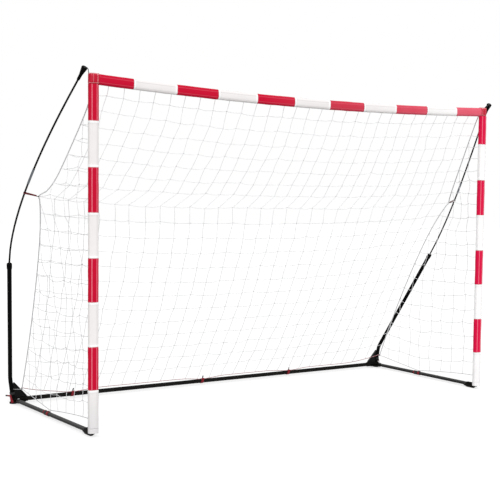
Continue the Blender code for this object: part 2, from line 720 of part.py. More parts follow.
def make_gusset(name, side, steel):
    """Triangular plate between the upright and the bar socket, with a folded rim."""
    low = BAR_HEIGHT + SOCKET_RADIUS + GAP
    clear = UPRIGHT_RADIUS / math.cos(math.atan(STUB_SLOPE)) + GAP
    reach = stub_x(BAR_HEIGHT) - GUSSET_REACH
    apex = (stub_x(GUSSET_HEIGHT) - clear, GUSSET_HEIGHT)
    tip = (apex[0] - GUSSET_APEX, GUSSET_HEIGHT)
    outline = [(reach, low), (stub_x(low) - clear, low), apex, tip, (reach, low + GUSSET_TOE)]
    turn = Matrix(((side, 0, 0, 0), (0, 0, -1, BASE_DEPTH - MID_DEPTH), (0, 1, 0, 0), (0, 0, 0, 1)))
    plate = extruded(f"{name}_gusset", outline, GUSSET_THICKNESS, turn)
    gusset = add_object(f"{name}_gusset", plate, steel)
    fold = [(reach, low), (reach + GUSSET_TOE, low), tip, (tip[0], tip[1] + GUSSET_FOLD),
            (tip[0] - GUSSET_FOLD, tip[1] + GUSSET_FOLD), (reach, low + 2 * GUSSET_FOLD)]
    rim = extruded("rim", fold, GUSSET_RIM, turn)
    boolean(gusset, add_object(f"{name}_gusset_rim", rim, steel), "UNION")


def make_upright(name, side, steel, plastic):
    """Bent steel tube that stands in the hub, and the collar in its mouth."""
    path = mirrored(upright_path(), side)
    inner = UPRIGHT_RADIUS - UPRIGHT_WALL
    tube = swept_pipe(f"{name}_upright_tube", path, UPRIGHT_RADIUS, inner, 16)
    add_object(f"{name}_upright_tube", tube, steel)
    direction = (path[-1] - path[-2]).normalized()
    skirt = COLLAR_LID - COLLAR_HEIGHT
    profile = [(skirt, UPRIGHT_RADIUS + GAP), (GAP, UPRIGHT_RADIUS + GAP),
               (GAP, POLE_RADIUS + GAP), (COLLAR_LID, POLE_RADIUS + GAP),
               (COLLAR_LID, COLLAR_RADIUS - COLLAR_EDGE), (COLLAR_LID - COLLAR_EDGE, COLLAR_RADIUS),
               (skirt, COLLAR_RADIUS - COLLAR_DRAFT)]
    collar = turned(f"{name}_upright_collar", profile, direction, path[-1], 16, bored=True)
    add_object(f"{name}_upright_collar", collar, plastic)


def make_bow(name, side, fibreglass, metal, plastic):
    """Two fibreglass rods joined in a metal ferrule, with a flared cap on the end."""
    path = bow_path()
    half_rise = FERRULE_LENGTH / 2 * bow_point(FERRULE_Z)[1].z
    lower = path_between(path, path[0].z, FERRULE_Z - GAP)
    upper = path_between(path, FERRULE_Z + GAP, path[-1].z)
    upper.append(path[-1])
    round_rod(f"{name}_pole_lower", mirrored(lower, side), POLE_RADIUS, fibreglass, 2)
    round_rod(f"{name}_pole_upper", mirrored(upper, side), POLE_RADIUS, fibreglass, 2)
    sleeve = path_between(path, FERRULE_Z - half_rise, FERRULE_Z + half_rise)
    ferrule = swept_pipe(f"{name}_pole_ferrule", mirrored(sleeve, side), FERRULE_RADIUS,
                         POLE_RADIUS + GAP, 10)
    add_object(f"{name}_pole_ferrule", ferrule, metal)
    tip, direction = mirrored([at(POST_X + POLE_END_OUTSET, POLE_END_DEPTH, POLE_END_Z),
                               Vector(CAP_DIRECTION).normalized()], side)
    socket = POLE_RADIUS + GAP
    profile = [(CAP_SOCKET, 0), (CAP_SOCKET, socket), (0, socket), (0, CAP_NECK_RADIUS - CAP_NECK_EDGE),
               (CAP_MOUTH, CAP_NECK_RADIUS), (CAP_NECK, CAP_NECK_RADIUS + CAP_NECK_EDGE),
               (CAP_LENGTH - CAP_BRIM, CAP_TOP_RADIUS - CAP_NECK_EDGE),
               (CAP_LENGTH - CAP_CROWN, CAP_TOP_RADIUS),
               (CAP_LENGTH, CAP_TOP_RADIUS - CAP_CROWN), (CAP_LENGTH, 0)]
    cap = turned(f"{name}_pole_cap", profile, direction, tip, 16)
    add_object(f"{name}_pole_cap", cap, plastic)


def make_hinge_bolt(name, side, zinc):
    """Vertical bolt through the yoke and the rail's knuckle, with its nut below."""
    yoke_top = TONGUE_THICKNESS / 2 + SLIDE_GAP + YOKE_THICKNESS
    origin = at(side * POST_X, HINGE_DEPTH, RAIL_HEIGHT)
    head = yoke_top + GAP
    end = -yoke_top - NUT_HEIGHT - GAP
    profile = [(end, 0), (end, BOLT_RADIUS - BOLT_END), (end + BOLT_END, BOLT_RADIUS),
               (head, BOLT_RADIUS), (head, BOLT_HEAD_RADIUS), (head + BOLT_HEAD_SIDE, BOLT_HEAD_RADIUS),
               (head + BOLT_HEAD_HEIGHT, BOLT_HEAD_FLAT), (head + BOLT_HEAD_HEIGHT, 0)]
    bolt = turned(f"{name}_hinge_bolt", profile, (0, 0, 1), origin, 12)
    add_object(f"{name}_hinge_bolt", bolt, zinc)
    nut_top = -yoke_top - GAP
    bore = (BOLT_RADIUS + GAP) / math.cos(math.pi / 6)
    nut_profile = tube_profile(nut_top - NUT_HEIGHT, nut_top, NUT_RADIUS, bore)
    nut = turned(f"{name}_hinge_nut", nut_profile, (0, 0, 1), origin, 6, bored=True)
    add_object(f"{name}_hinge_nut", nut, zinc, smooth_angle=20)


# Side rails, which fold inward about the hinge bolts


def make_rail(name, side, steel):
    """Rail tube and its hinge knuckle."""
    hinge = at(side * POST_X, HINGE_DEPTH, RAIL_HEIGHT)
    inner = RAIL_RADIUS - RAIL_WALL
    length = HINGE_DEPTH - RAIL_HINGE_GAP - RAIL_FRONT_GAP
    start = RAIL_HINGE_GAP
    rail = turned(f"{name}_side_rail", tube_profile(start, start + length, RAIL_RADIUS, inner),
                  (0, -1, 0), hinge, 16, bored=True)
    add_object(f"{name}_side_rail", rail, steel, origin=hinge)

    half_root = TONGUE_ROOT_WIDTH / 2
    outline = [(RAIL_HINGE_GAP - GAP, -half_root), (RAIL_HINGE_GAP - GAP, half_root)]
    for i in range(7):
        angle = math.pi / 2 + math.pi * i / 6
        outline.append((TONGUE_RADIUS * math.cos(angle), TONGUE_RADIUS * math.sin(angle)))
    turn = Matrix(((0, 1, 0, hinge.x), (-1, 0, 0, hinge.y), (0, 0, 1, hinge.z), (0, 0, 0, 1)))
    tongue = extruded(f"{name}_rail_knuckle", outline, TONGUE_THICKNESS, turn)
    knuckle = add_object(f"{name}_rail_knuckle", tongue, steel, origin=hinge)
    plug = [(RAIL_HINGE_GAP - KNUCKLE_TAPER, 0), (RAIL_HINGE_GAP - KNUCKLE_TAPER, inner - KNUCKLE_TAPER),
            (RAIL_HINGE_GAP - GAP, inner - GAP), (RAIL_HINGE_GAP + KNUCKLE_PLUG, inner - GAP),
            (RAIL_HINGE_GAP + KNUCKLE_PLUG, 0)]
    plug_mesh = turned("plug", plug, (0, -1, 0), hinge, 16)
    boolean(knuckle, add_object(f"{name}_knuckle_add", plug_mesh, steel), "UNION")
    eye = turned("eye", plain_rod(-BAR_HEIGHT, BAR_HEIGHT, BOLT_RADIUS + SLIDE_GAP), (0, 0, 1), hinge, 12)
    boolean(knuckle, add_object(f"{name}_knuckle_cut", eye, steel), "DIFFERENCE")


def sole_outline(side):
    """Outline of the foot's sole: a long plate with cut corners."""
    toe = SOLE_SETBACK - SLEEVE_THICKNESS / 2
    right_half = [(SOLE_SHORT, SOLE_REAR), (SOLE_HALF_WIDTH, SOLE_REAR - SOLE_TAPER),
                  (SOLE_HALF_WIDTH, toe + SOLE_CORNER), (SOLE_SHORT, toe)]
    points = right_half + [(-x, depth) for x, depth in reversed(right_half)]
    return [(side * POST_X + x, depth - MID_DEPTH) for x, depth in points]


def make_foot(name, side, plastic):
    """Moulded front foot: socket on the rail's end, wedge sole, and the peg for the sleeve."""
    hinge = at(side * POST_X, HINGE_DEPTH, RAIL_HEIGHT)
    node = f"{name}_front_foot"
    sole = extruded(node, sole_outline(side), SOLE_HEIGHT, Matrix.Translation((0, 0, SOLE_HEIGHT / 2)))
    foot = add_object(node, sole, plastic, origin=hinge)

    sleeve_rear = SLEEVE_THICKNESS / 2 + 2 * GAP
    front = HINGE_DEPTH - sleeve_rear
    socket = [(front - FOOT_LENGTH, 0), (front - FOOT_LENGTH, FOOT_RADIUS - FOOT_EDGE),
              (front - FOOT_LENGTH + FOOT_EDGE, FOOT_RADIUS), (front, FOOT_RADIUS), (front, 0)]
    ramp = [(sleeve_rear, PEG_LOW), (SOLE_REAR - SOLE_CORNER, PEG_LOW),
            (FOOT_LENGTH + SOLE_CORNER, RAIL_HEIGHT - SOLE_HEIGHT),
            (sleeve_rear, RAIL_HEIGHT - FOOT_RAMP_DROP)]
    place = Matrix(((0, 0, 1, side * POST_X), (1, 0, 0, -MID_DEPTH), (0, 1, 0, 0), (0, 0, 0, 1)))
    peg = bmesh.new()
    peg_top = SOLE_HEIGHT + CUFF_HEIGHT - PEG_BELOW_CUFF
    points = [post_point(side, 0.0) + Vector((0, 0, z)) for z in (PEG_LOW, peg_top - PEG_EDGE, peg_top)]
    hollow = 2 * (CUFF_WALL + GAP)
    sections = [sleeve_section(SLEEVE_WIDTH - hollow, SLEEVE_THICKNESS - hollow, scale)
                for scale in (1, 1, PEG_TOP_SCALE)]
    add_swept(peg, points, sections, (1, 0, 0))
    added = [turned("foot_socket", socket, (0, -1, 0), hinge, 16), extruded("ramp", ramp, FOOT_WEB, place),
             mesh_from(peg, "peg")]
    for mesh in added:
        boolean(foot, add_object(f"{name}_foot_add", mesh, plastic), "UNION")

    bore = plain_rod(FOOT_LENGTH, HINGE_DEPTH - RAIL_FRONT_GAP + GAP, RAIL_RADIUS + GAP)
    bore_mesh = turned("foot_bore", bore, (0, -1, 0), hinge, 16)
    boolean(foot, add_object(f"{name}_foot_cut", bore_mesh, plastic), "DIFFERENCE")


def make_cuff(name, side, white):
    """Lowest stretch of the post sleeve, which slips over the foot's peg."""
    hinge = at(side * POST_X, HINGE_DEPTH, RAIL_HEIGHT)
    width = SLEEVE_WIDTH - 2 * CUFF_WALL
    thickness = SLEEVE_THICKNESS - 2 * CUFF_WALL
    centre = post_point(side, 0.0)
    middle = SOLE_HEIGHT + GAP + CUFF_HEIGHT / 2
    outer = sleeve_section(SLEEVE_WIDTH, SLEEVE_THICKNESS)
    hole = sleeve_section(width, thickness)
    cuff = extruded(f"{name}_sleeve_cuff", outer, CUFF_HEIGHT,
                    Matrix.Translation(centre + Vector((0, 0, middle))), hole=hole)
    add_object(f"{name}_sleeve_cuff", cuff, white, origin=hinge)


# Soft frame


def make_sleeve(node, seams, point_at, directions, first_color, materials):
    """One soft sleeve, sewn from bands that fill out from each seam and alternate in colour.

    The directions are those of a section's width and of the sleeve's run.
    """
    stations = [(seams[0], BAND_PINCH)]
    for before, after in zip(seams, seams[1:]):
        stations.append((before + BAND_SHOULDER, 1.0))
        stations.append((after - BAND_SHOULDER, 1.0))
        stations.append((after, BAND_PINCH))
    bm = bmesh.new()
    points = [point_at(place) for place, _ in stations]
    sections = [sleeve_section(SLEEVE_WIDTH, SLEEVE_THICKNESS, scale) for _, scale in stations]
    rings = add_swept(bm, points, sections, *directions)
    last = len(seams) - 2
    colors = {vert: min(i // 3, last) for i, ring in enumerate(rings) for vert in ring}
    for face in bm.faces:
        band = min(colors[vert] for vert in face.verts)
        face.material_index = (band + first_color) % 2
    sleeve = add_object(node, mesh_from(bm, node), materials[0])
    sleeve.data.materials.append(materials[1])


def make_crossbar(red, white):
    """Eleven equal bands. The corner patches take part of the outermost ones."""
    band = 2 * CROSSBAR_HALF / CROSSBAR_BANDS
    inner_end = CROSSBAR_HALF - SLEEVE_WIDTH - GAP
    seams = [-CROSSBAR_HALF + i * band for i in range(CROSSBAR_BANDS + 1)]
    seams[0], seams[-1] = -inner_end, inner_end
    make_sleeve("crossbar_sleeve", seams, crossbar_point, ((0, 0, 1), (1, 0, 0)), 0, (red, white))


def make_post(name, side, red, white):
    """Eight equal bands, white at the foot and red at the top, standing on the cuff."""
    band = CORNER_HEIGHT / POST_BANDS
    seams = [i * band for i in range(POST_BANDS + 1)]
    seams[0] = SOLE_HEIGHT + GAP + CUFF_HEIGHT + GAP
    seams[-1] = CORNER_BOTTOM - GAP
    make_sleeve(f"{name}_post_sleeve", seams, lambda z: post_point(side, z),
                ((1, 0, 0), (0, 0, 1)), 1, (red, white))


def make_corner_patch(name, side, red):
    """Square sewn corner of the fabric frame, with the tab that hangs it on the pole's cap."""
    bm = bmesh.new()
    middle = crossbar_point(side * CROSSBAR_HALF)
    middle.x = side * (POST_X + POST_SPLAY)
    half = SLEEVE_WIDTH / 2
    stations = [(-half, BAND_PINCH), (-half + PATCH_SHOULDER, 1.0), (half - PATCH_SHOULDER, 1.0),
                (half, BAND_PINCH)]
    points = [middle + Vector((offset, 0, 0)) for offset, _ in stations]
    sections = [sleeve_section(SLEEVE_WIDTH, SLEEVE_THICKNESS, scale) for _, scale in stations]
    add_swept(bm, points, sections, (0, 0, 1))
    node = f"{name}_corner_patch"
    patch = add_object(node, mesh_from(bm, node), red)
    tab = add_object(f"{name}_corner_tab", corner_tab(side), red)
    boolean(patch, tab, "UNION")


def corner_tab(side):
    """Webbing tab that rises from the corner patch and lies over the end of the pole's cap."""
    tip = at(POST_X + POLE_END_OUTSET, POLE_END_DEPTH, POLE_END_Z)
    out = Vector(CAP_DIRECTION).normalized()
    end = tip + out * CAP_LENGTH
    along = Vector((1, 0, 0))
    along = (along - out * along.dot(out)).normalized()
    rear = out.cross(along)
    low, high = GAP, GAP + TAB_THICKNESS
    knee = -CAP_TOP_RADIUS - TAB_CLEAR
    root_x = -(end.x - POST_X - POST_SPLAY) + TAB_ROOT
    root_y = -(end.z - CORNER_HEIGHT) - TAB_ROOT
    outline = [(TAB_REACH, low), (TAB_REACH, high), (knee, high),
               (root_x - TAB_THICKNESS, root_y), (root_x, root_y - TAB_THICKNESS),
               (knee + TAB_THICKNESS, low)]
    turn = Matrix((along, out, rear)).transposed().to_4x4()
    mirror = Matrix.Diagonal((side, 1, 1, 1))
    return extruded("tab", outline, TAB_WIDTH, mirror @ Matrix.Translation(end - rear * TAB_DROP) @ turn)


# Net


def wire_net(name, bm, material):
    """Turn a sheet of faces into a net of square strands."""
    bmesh.ops.recalc_face_normals(bm, faces=bm.faces[:])
    mesh = bpy.data.meshes.new(name)
    bm.to_mesh(mesh)
    bm.free()
    obj = bpy.data.objects.new(name, mesh)
    bpy.context.scene.collection.objects.link(obj)
    mesh.materials.append(material)
    wire = obj.modifiers.new("twine", "WIREFRAME")
    wire.thickness = TWINE
    wire.use_even_offset = False
    wire.use_boundary = True
    wire.use_replace = True
    return obj


def net_rows():
    """Levels of the net's rows above and below the tie, with one row on the tie itself."""
    upper_count = round((NET_TOP_Z - TIE_Z) / NET_PITCH)
    lower_count = round((TIE_Z - NET_BASE_Z) / NET_PITCH)
    upper = [NET_TOP_Z + (TIE_Z - NET_TOP_Z) * i / upper_count for i in range(upper_count + 1)]
    lower = [TIE_Z + (NET_BASE_Z - TIE_Z) * i / lower_count for i in range(lower_count + 1)]
    return upper, lower


def edge_levels():
    """Levels at which the rear cord bends, and the nets' edges with it, from the top down."""
    upper, lower = net_rows()
    near_tie = [TIE_Z + offset for offset in (TIE_BEND, TIE_STRAIGHT, -TIE_STRAIGHT, -TIE_BEND)]
    return sorted(set(upper + lower + near_tie), reverse=True)


def settled_height(level, top_z, base_z):
    """Height of a knot. Upper rows follow the crossbar's sag and lower rows follow the hem."""
    up = max(0.0, (level - TIE_Z) / (NET_TOP_Z - TIE_Z)) ** 2
    down = max(0.0, (TIE_Z - level) / (TIE_Z - NET_BASE_Z)) ** 3
    return level + (top_z - NET_TOP_Z) * up + (base_z - NET_BASE_Z) * down


def net_top(x):
    """Height of the net's top row behind the crossbar."""
    return crossbar_point(x).z - NET_TOP_DROP


def edge_height(level):
    """Height of a knot on the rear cord."""
    return settled_height(level, net_top(CROSSBAR_HALF), CORNER_Z + HEM_OFFSET)


def cord_polyline():
    """Points of the right rear cord, from the top down."""
    top, _, low = cord_anchors()
    heights = [top.z] + [edge_height(level) for level in edge_levels()] + [low.z]
    return [cord_point(z) for z in heights]


def seam_point(height):
    """Point of the rear cord, as it is built, at a height."""
    points = cord_polyline()
    for above, under in zip(points, points[1:]):
        if above.z >= height >= under.z:
            return above.lerp(under, (above.z - height) / (above.z - under.z))
    return points[0] if height > points[0].z else points[-1]


def tie_retreat(height):
    """How far a net's edge draws back from the cord where the tie goes round it."""
    away = abs(height - TIE_Z)
    share = min(max((TIE_BEND - away) / (TIE_BEND - TIE_STRAIGHT), 0.0), 1.0)
    return TIE_RETREAT * share


def back_net_point(share, level, shift):
    """Place of a back net knot, at a share from -1 to 1 of the way across."""
    _, _, low = cord_anchors()
    hem = back_hem_point(share * low.x)
    height = settled_height(level, net_top(share * POST_X), hem.z + HEM_OFFSET)
    if abs(share) == 1:
        height = edge_height(level)
    seam = seam_point(height)
    x = share * (seam.x - BACK_EDGE_OFFSET - tie_retreat(height))
    bar_rear = crossbar_point(x).y + SLEEVE_THICKNESS / 2 + TWINE_REACH + 2 * GAP
    across = (level - NET_BASE_Z) / (NET_TOP_Z - NET_BASE_Z)
    chord = hem.y + (bar_rear - hem.y) * across
    y = chord + (seam.y - chord) * abs(share) ** 3
    if level == TIE_Z:
        height += shift * (TWINE_REACH + GAP)
    return Vector((x, y, height))


def between(values, first, last):
    """Values strictly between two others, in the order from the first to the last."""
    low, high = min(first, last), max(first, last)
    inside = [v for v in values if low + 1e-6 < v < high - 1e-6]
    return sorted(inside, reverse=first > last)


def make_back_net(twine):
    """Upper and lower panel of the back net, which meet on the tie line."""
    columns = round(2 * POST_X / NET_PITCH)
    shares = [-1 + 2 * i / columns for i in range(columns + 1)]
    _, _, low = cord_anchors()
    hem_shares = [x / low.x for x in hem_stations()]
    for name, shift, rows in zip(("upper", "lower"), (1, -1), net_rows()):
        bm = bmesh.new()
        knots = {}

        def knot(share, level):
            key = (round(share, 6), round(level, 6))
            if key not in knots:
                knots[key] = bm.verts.new(back_net_point(share, level, shift))
            return knots[key]

        for level, below in zip(rows, rows[1:]):
            for left, right in zip(shares, shares[1:]):
                loop = [(left, level), (right, level)]
                if right == 1:
                    loop += [(right, z) for z in between(edge_levels(), level, below)]
                loop.append((right, below))
                if below == NET_BASE_Z:
                    loop += [(share, below) for share in between(hem_shares, right, left)]
                loop.append((left, below))
                if left == -1:
                    loop += [(left, z) for z in between(edge_levels(), below, level)]
                bm.faces.new([knot(*place) for place in loop])
        wire_net(f"back_net_{name}", bm, twine)


def side_limit(level):
    """Depth of the straight lines through the side net's rear corners, at a level."""
    top, tie, low = cord_anchors()
    if level >= TIE_Z:
        return tie.lerp(top, (level - TIE_Z) / (NET_TOP_Z - TIE_Z)).y + MID_DEPTH
    return tie.lerp(low, (TIE_Z - level) / (TIE_Z - NET_BASE_Z)).y + MID_DEPTH


def limit_crossing(inner, outer):
    """Where the side of a mesh crosses the limit line."""
    low, high = 0.0, 1.0
    for _ in range(30):
        middle = (low + high) / 2
        depth = inner[0] + (outer[0] - inner[0]) * middle
        level = inner[1] + (outer[1] - inner[1]) * middle
        if depth > side_limit(level):
            high = middle
        else:
            low = middle
    return inner[0] + (outer[0] - inner[0]) * low, inner[1] + (outer[1] - inner[1]) * low


def side_cells():
    """Square meshes of the side net in depth and level, cut along the rear cord's line."""
    upper, lower = net_rows()
    rows = upper + lower[1:]
    start = POST_LEAN + SLEEVE_THICKNESS / 2
    columns = int((CORNER_DEPTH - start) / NET_PITCH) + 2
    grid = []
    for level in rows:
        row = []
        for i in range(columns + 1):
            depth = start + i * NET_PITCH
            if abs(depth - side_limit(level)) < NET_PITCH * SNAP_SHARE:
                depth = side_limit(level)
            row.append((depth, level))
        grid.append(row)
    cells = []
    for row, below in zip(grid, grid[1:]):
        for i in range(columns):
            corners = [row[i], row[i + 1], below[i + 1], below[i]]
            cells.append(cut_cell(corners))
    return [cell for cell in cells if len(cell) > 2]


def cut_cell(corners):
    """The part of one mesh that lies in front of the limit line, bent where the cord bends."""
    loop = []
    for a, b in zip(corners, corners[1:] + corners[:1]):
        a_out, b_out = (p[0] > side_limit(p[1]) + 1e-6 for p in (a, b))
        if not a_out:
            loop.append(a)
        if a_out != b_out:
            point = limit_crossing(a, b) if b_out else limit_crossing(b, a)
            if all(math.dist(point, p) > 1e-4 for p in (a, b)):
                loop.append(point)
    bent = []
    for a, b in zip(loop, loop[1:] + loop[:1]):
        bent.append(a)
        if all(abs(p[0] - side_limit(p[1])) < 1e-4 for p in (a, b)):
            bent += [(side_limit(z), z) for z in between(edge_levels(), a[1], b[1])]
    return bent


def side_net_place(side, depth, level):
    """Move a knot of the flat side net to its place between the post, the cord and the hem."""
    start = POST_LEAN + SLEEVE_THICKNESS / 2
    across = min((depth - start) / (side_limit(level) - start), 1.0)
    hem_depth = start + (CORNER_DEPTH - start) * across
    base_z = side_hem_z(hem_depth) + HEM_OFFSET
    height = settled_height(level, net_top(CROSSBAR_HALF), base_z)
    if level == NET_TOP_Z:
        height, across = SIDE_APEX_Z, 0.5
    post = post_point(1, height)
    seam = seam_point(height)
    post_y = post.y + SLEEVE_THICKNESS / 2 + TWINE_REACH + 2 * GAP
    seam_y = seam.y - SIDE_EDGE_OFFSET - tie_retreat(height)
    return Vector((side * (post.x + (seam.x - post.x) * across), post_y + (seam_y - post_y) * across,
                   height))


def make_side_net(name, side, twine):
    """Side net between post, rear cord and hem."""
    bm = bmesh.new()
    knots = {}
    for cell in side_cells():
        loop = {}
        for depth, level in cell:
            key = (round(depth, 3), round(level, 3))
            if key not in knots:
                knots[key] = bm.verts.new(side_net_place(side, depth, level))
            loop[key] = knots[key]
        if len(loop) > 2:
            bm.faces.new(loop.values())
    wire_net(f"{name}_side_net", bm, twine)


def make_cords(twine, hem_material):
    """Rear corner cords and hems, held all the way by the net, the ties and the straps."""
    _, _, low = cord_anchors()
    link_z = CORNER_Z - LINK_DROP
    upright = at(stub_x(link_z), BASE_DEPTH, link_z)
    toward = upright - low
    toward.z = 0
    link_end = upright - toward.normalized() * (UPRIGHT_RADIUS + 2 * GAP)
    start = post_point(1, SIDE_HEM_POST_Z)
    start.y += SLEEVE_THICKNESS / 2 + GAP
    depths = [SLEEVE_THICKNESS / 2 + (RAIL_STRAP_DEPTH - SLEEVE_THICKNESS / 2) * share
              for share in (0.25, 0.5, 0.75, 0.92, 1, 1.08, 1.3, 1.55)]
    hem = [start]
    hem += [at(POST_X - CORNER_INSET * d / CORNER_DEPTH, d, side_hem_z(d)) for d in depths]
    hem.append(at(low.x, CORNER_DEPTH - CORD_RADIUS - 2 * GAP, CORNER_Z))
    cord = cord_polyline() + [low.lerp(link_end, 0.5), link_end]
    for name, side in SIDES.items():
        round_rod(f"{name}_border_cord", mirrored(cord, side), CORD_RADIUS, twine, 1)
        round_rod(f"{name}_side_hem", mirrored(hem, side), HEM_RADIUS, hem_material, 1)
    points = [back_hem_point(x) for x in hem_stations()]
    round_rod("back_hem", points, HEM_RADIUS, hem_material, 1)


# Straps and ties


def make_back_straps(webbing, black):
    """Straps that hold the back hem down to the bar, each with a black tab sewn on its rear."""
    for name, x in zip(("left", "centre", "right"), BACK_STRAPS_X):
        bar = at(x, BASE_DEPTH, BAR_HEIGHT)
        hem = back_hem_point(x)
        node = f"back_strap_{name}"
        loop = strap_loop(node, bar, BAR_RADIUS, hem, HEM_RADIUS, (1, 0, 0), STRAP_WIDTH,
                          STRAP_THICKNESS)
        strap = add_object(node, loop, webbing)
        u, v = LABEL_WIDTH / 2, LABEL_HEIGHT / 2
        rear = bar.y + BAR_RADIUS + GAP + STRAP_THICKNESS
        place = Matrix(((1, 0, 0, x), (0, 0, 1, rear), (0, 1, 0, bar.z), (0, 0, 0, 1)))
        label = extruded("label", [(-u, -v), (u, -v), (u, v), (-u, v)], STRAP_THICKNESS, place)
        boolean(strap, add_object(f"{node}_label", label, black), "UNION")


def make_corner_strap(name, side, webbing):
    """Webbing half-loop round the outside of the upright, just above the hub."""
    z = CORNER_STRAP_Z
    centre = at(side * stub_x(z), BASE_DEPTH, z)
    steps = 12
    inner = (UPRIGHT_RADIUS + GAP) / math.cos(CORNER_STRAP_TURN / steps)
    outer = inner + STRAP_THICKNESS
    outline = []
    for radius, order in ((outer, range(steps + 1)), (inner, range(steps, -1, -1))):
        for i in order:
            angle = CORNER_STRAP_TURN * (2 * i / steps - 1)
            outline.append((radius * math.cos(angle), radius * math.sin(angle)))
    axis = Vector((side * STUB_SLOPE, 0, 1)).normalized()
    x_axis = Vector((side, 0, 0))
    x_axis = (x_axis - axis * x_axis.dot(axis)).normalized()
    turn = Matrix((x_axis, axis.cross(x_axis), axis)).transposed().to_4x4()
    mesh = extruded(f"{name}_corner_strap", outline, STRAP_WIDTH, Matrix.Translation(centre) @ turn)
    strap = add_object(f"{name}_corner_strap", mesh, webbing)
    root, end = outer - STRAP_THICKNESS / 2, outer + TAIL_LENGTH
    tail = [(root, 0), (end, -TAIL_DROOP), (end, -TAIL_DROOP - TAIL_THICKNESS), (root, -TAIL_THICKNESS)]
    tail_mesh = extruded("tail", tail, TAIL_WIDTH, Matrix.Translation(centre) @ turn)
    boolean(strap, add_object(f"{name}_strap_tail", tail_mesh, webbing), "UNION")


def make_rail_strap(name, side, webbing):
    """Webbing ring round the rail, under the side hem."""
    hinge = at(side * POST_X, HINGE_DEPTH, RAIL_HEIGHT)
    centre = at(side * POST_X, RAIL_STRAP_DEPTH, RAIL_HEIGHT)
    inner = RAIL_RADIUS + GAP
    ring = tube_profile(-STRAP_WIDTH / 2, STRAP_WIDTH / 2, inner + STRAP_THICKNESS, inner)
    mesh = turned(f"{name}_rail_strap", ring, (0, 1, 0), centre, 16, bored=True)
    add_object(f"{name}_rail_strap", mesh, webbing, origin=hinge)


def make_pole_tie(name, side, webbing):
    """Loop that ties the net's rear cord out to the pole."""
    _, tie, _ = cord_anchors()
    pole, normal = tie_line()
    pole, tie, normal = mirrored([pole, tie, normal], side)
    mesh = strap_loop(f"{name}_pole_tie", pole, POLE_RADIUS + GAP, tie, CORD_RADIUS + TIE_SLACK,
                      normal, TIE_STRAP_WIDTH, TIE_STRAP_THICKNESS)
    add_object(f"{name}_pole_tie", mesh, webbing)


def main():
    """Build the goal."""
    for obj in list(bpy.data.objects):
        bpy.data.objects.remove(obj, do_unlink=True)
    black_steel = make_material("black_steel", (0.018, 0.018, 0.020), 0.42, 0.3)
    rail_steel = make_material("rail_steel", (0.045, 0.045, 0.048), 0.45, 0.3)
    plastic = make_material("black_plastic", (0.015, 0.015, 0.016), 0.55)
    fibreglass = make_material("black_fibreglass", (0.012, 0.012, 0.013), 0.35)
    grey_metal = make_material("grey_metal", (0.32, 0.34, 0.36), 0.35, 0.9)
    zinc = make_material("zinc", (0.60, 0.61, 0.62), 0.30, 1.0)
    red = make_material("red_sleeve", (0.60, 0.010, 0.045), 0.45)
    white = make_material("white_sleeve", (0.86, 0.85, 0.84), 0.45)
    twine = make_material("white_twine", (0.82, 0.82, 0.82), 0.80)
    hem = make_material("hem_cord", (0.42, 0.30, 0.32), 0.80)
    webbing = make_material("red_webbing", (0.55, 0.012, 0.030), 0.75)
    tab_black = make_material("black_webbing", (0.015, 0.015, 0.015), 0.75)

    bars = make_back_bar(black_steel)
    hubs = {}
    for name, side in SIDES.items():
        hubs[name] = make_hub(name, side, black_steel)
        make_gusset(name, side, rail_steel)
        make_upright(name, side, black_steel, plastic)
        make_bow(name, side, fibreglass, grey_metal, plastic)
        make_hinge_bolt(name, side, zinc)
        make_rail(name, side, rail_steel)
        make_foot(name, side, plastic)
        make_cuff(name, side, white)
        make_rail_strap(name, side, webbing)
        make_post(name, side, red, white)
        make_corner_patch(name, side, red)
        make_side_net(name, side, twine)
        make_pole_tie(name, side, webbing)
        make_corner_strap(name, side, webbing)
    make_buttons(bars, hubs, zinc)
    make_crossbar(red, white)
    make_back_net(twine)
    make_cords(twine, hem)
    make_back_straps(webbing, tab_black)


main()
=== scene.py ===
"""Handball goal, dressed: soft PVC frame, knotted net, cords, straps, finishes and stage.

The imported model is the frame. Everything is in metres, +Z up, and the goal mouth faces -Y.
Depths are measured backwards from the line on which the posts stand. Left is side -1 and right
is side +1.
"""
import math
import random
from itertools import accumulate

import bmesh
import bpy
from bpy.props import FloatProperty, FloatVectorProperty, PointerProperty
from mathutils import Matrix, Vector, noise


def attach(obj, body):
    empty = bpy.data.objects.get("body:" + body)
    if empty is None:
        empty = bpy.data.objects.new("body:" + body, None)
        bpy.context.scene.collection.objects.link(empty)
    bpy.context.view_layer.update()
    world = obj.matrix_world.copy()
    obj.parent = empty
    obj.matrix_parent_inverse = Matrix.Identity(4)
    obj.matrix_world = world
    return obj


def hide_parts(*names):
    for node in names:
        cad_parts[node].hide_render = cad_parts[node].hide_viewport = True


bl_info = {
    "name": "Handball goal",
    "version": (1, 0, 0),
    "blender": (4, 5, 0),
    "location": "View3D > Sidebar > Goal",
    "description": "Dresses the packed handball goal with its soft frame, net, cords and finishes",
    "category": "Object",
}

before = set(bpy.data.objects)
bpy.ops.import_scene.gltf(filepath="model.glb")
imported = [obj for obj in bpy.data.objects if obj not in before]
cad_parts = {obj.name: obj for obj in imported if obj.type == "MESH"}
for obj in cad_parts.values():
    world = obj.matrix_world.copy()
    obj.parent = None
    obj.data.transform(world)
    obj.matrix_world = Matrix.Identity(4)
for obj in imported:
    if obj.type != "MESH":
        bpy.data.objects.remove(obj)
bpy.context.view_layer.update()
SIDES = {"left": -1, "right": 1}
ACROSS, BACK, UP = Vector((1, 0, 0)), Vector((0, 1, 0)), Vector((0, 0, 1))

# Tolerances
SAME_POINT = 1e-6            # points nearer than this are merged
ROUNDING = 1e-9
NO_SIDE = 1e-3               # shorter cross directions are too near the line's own

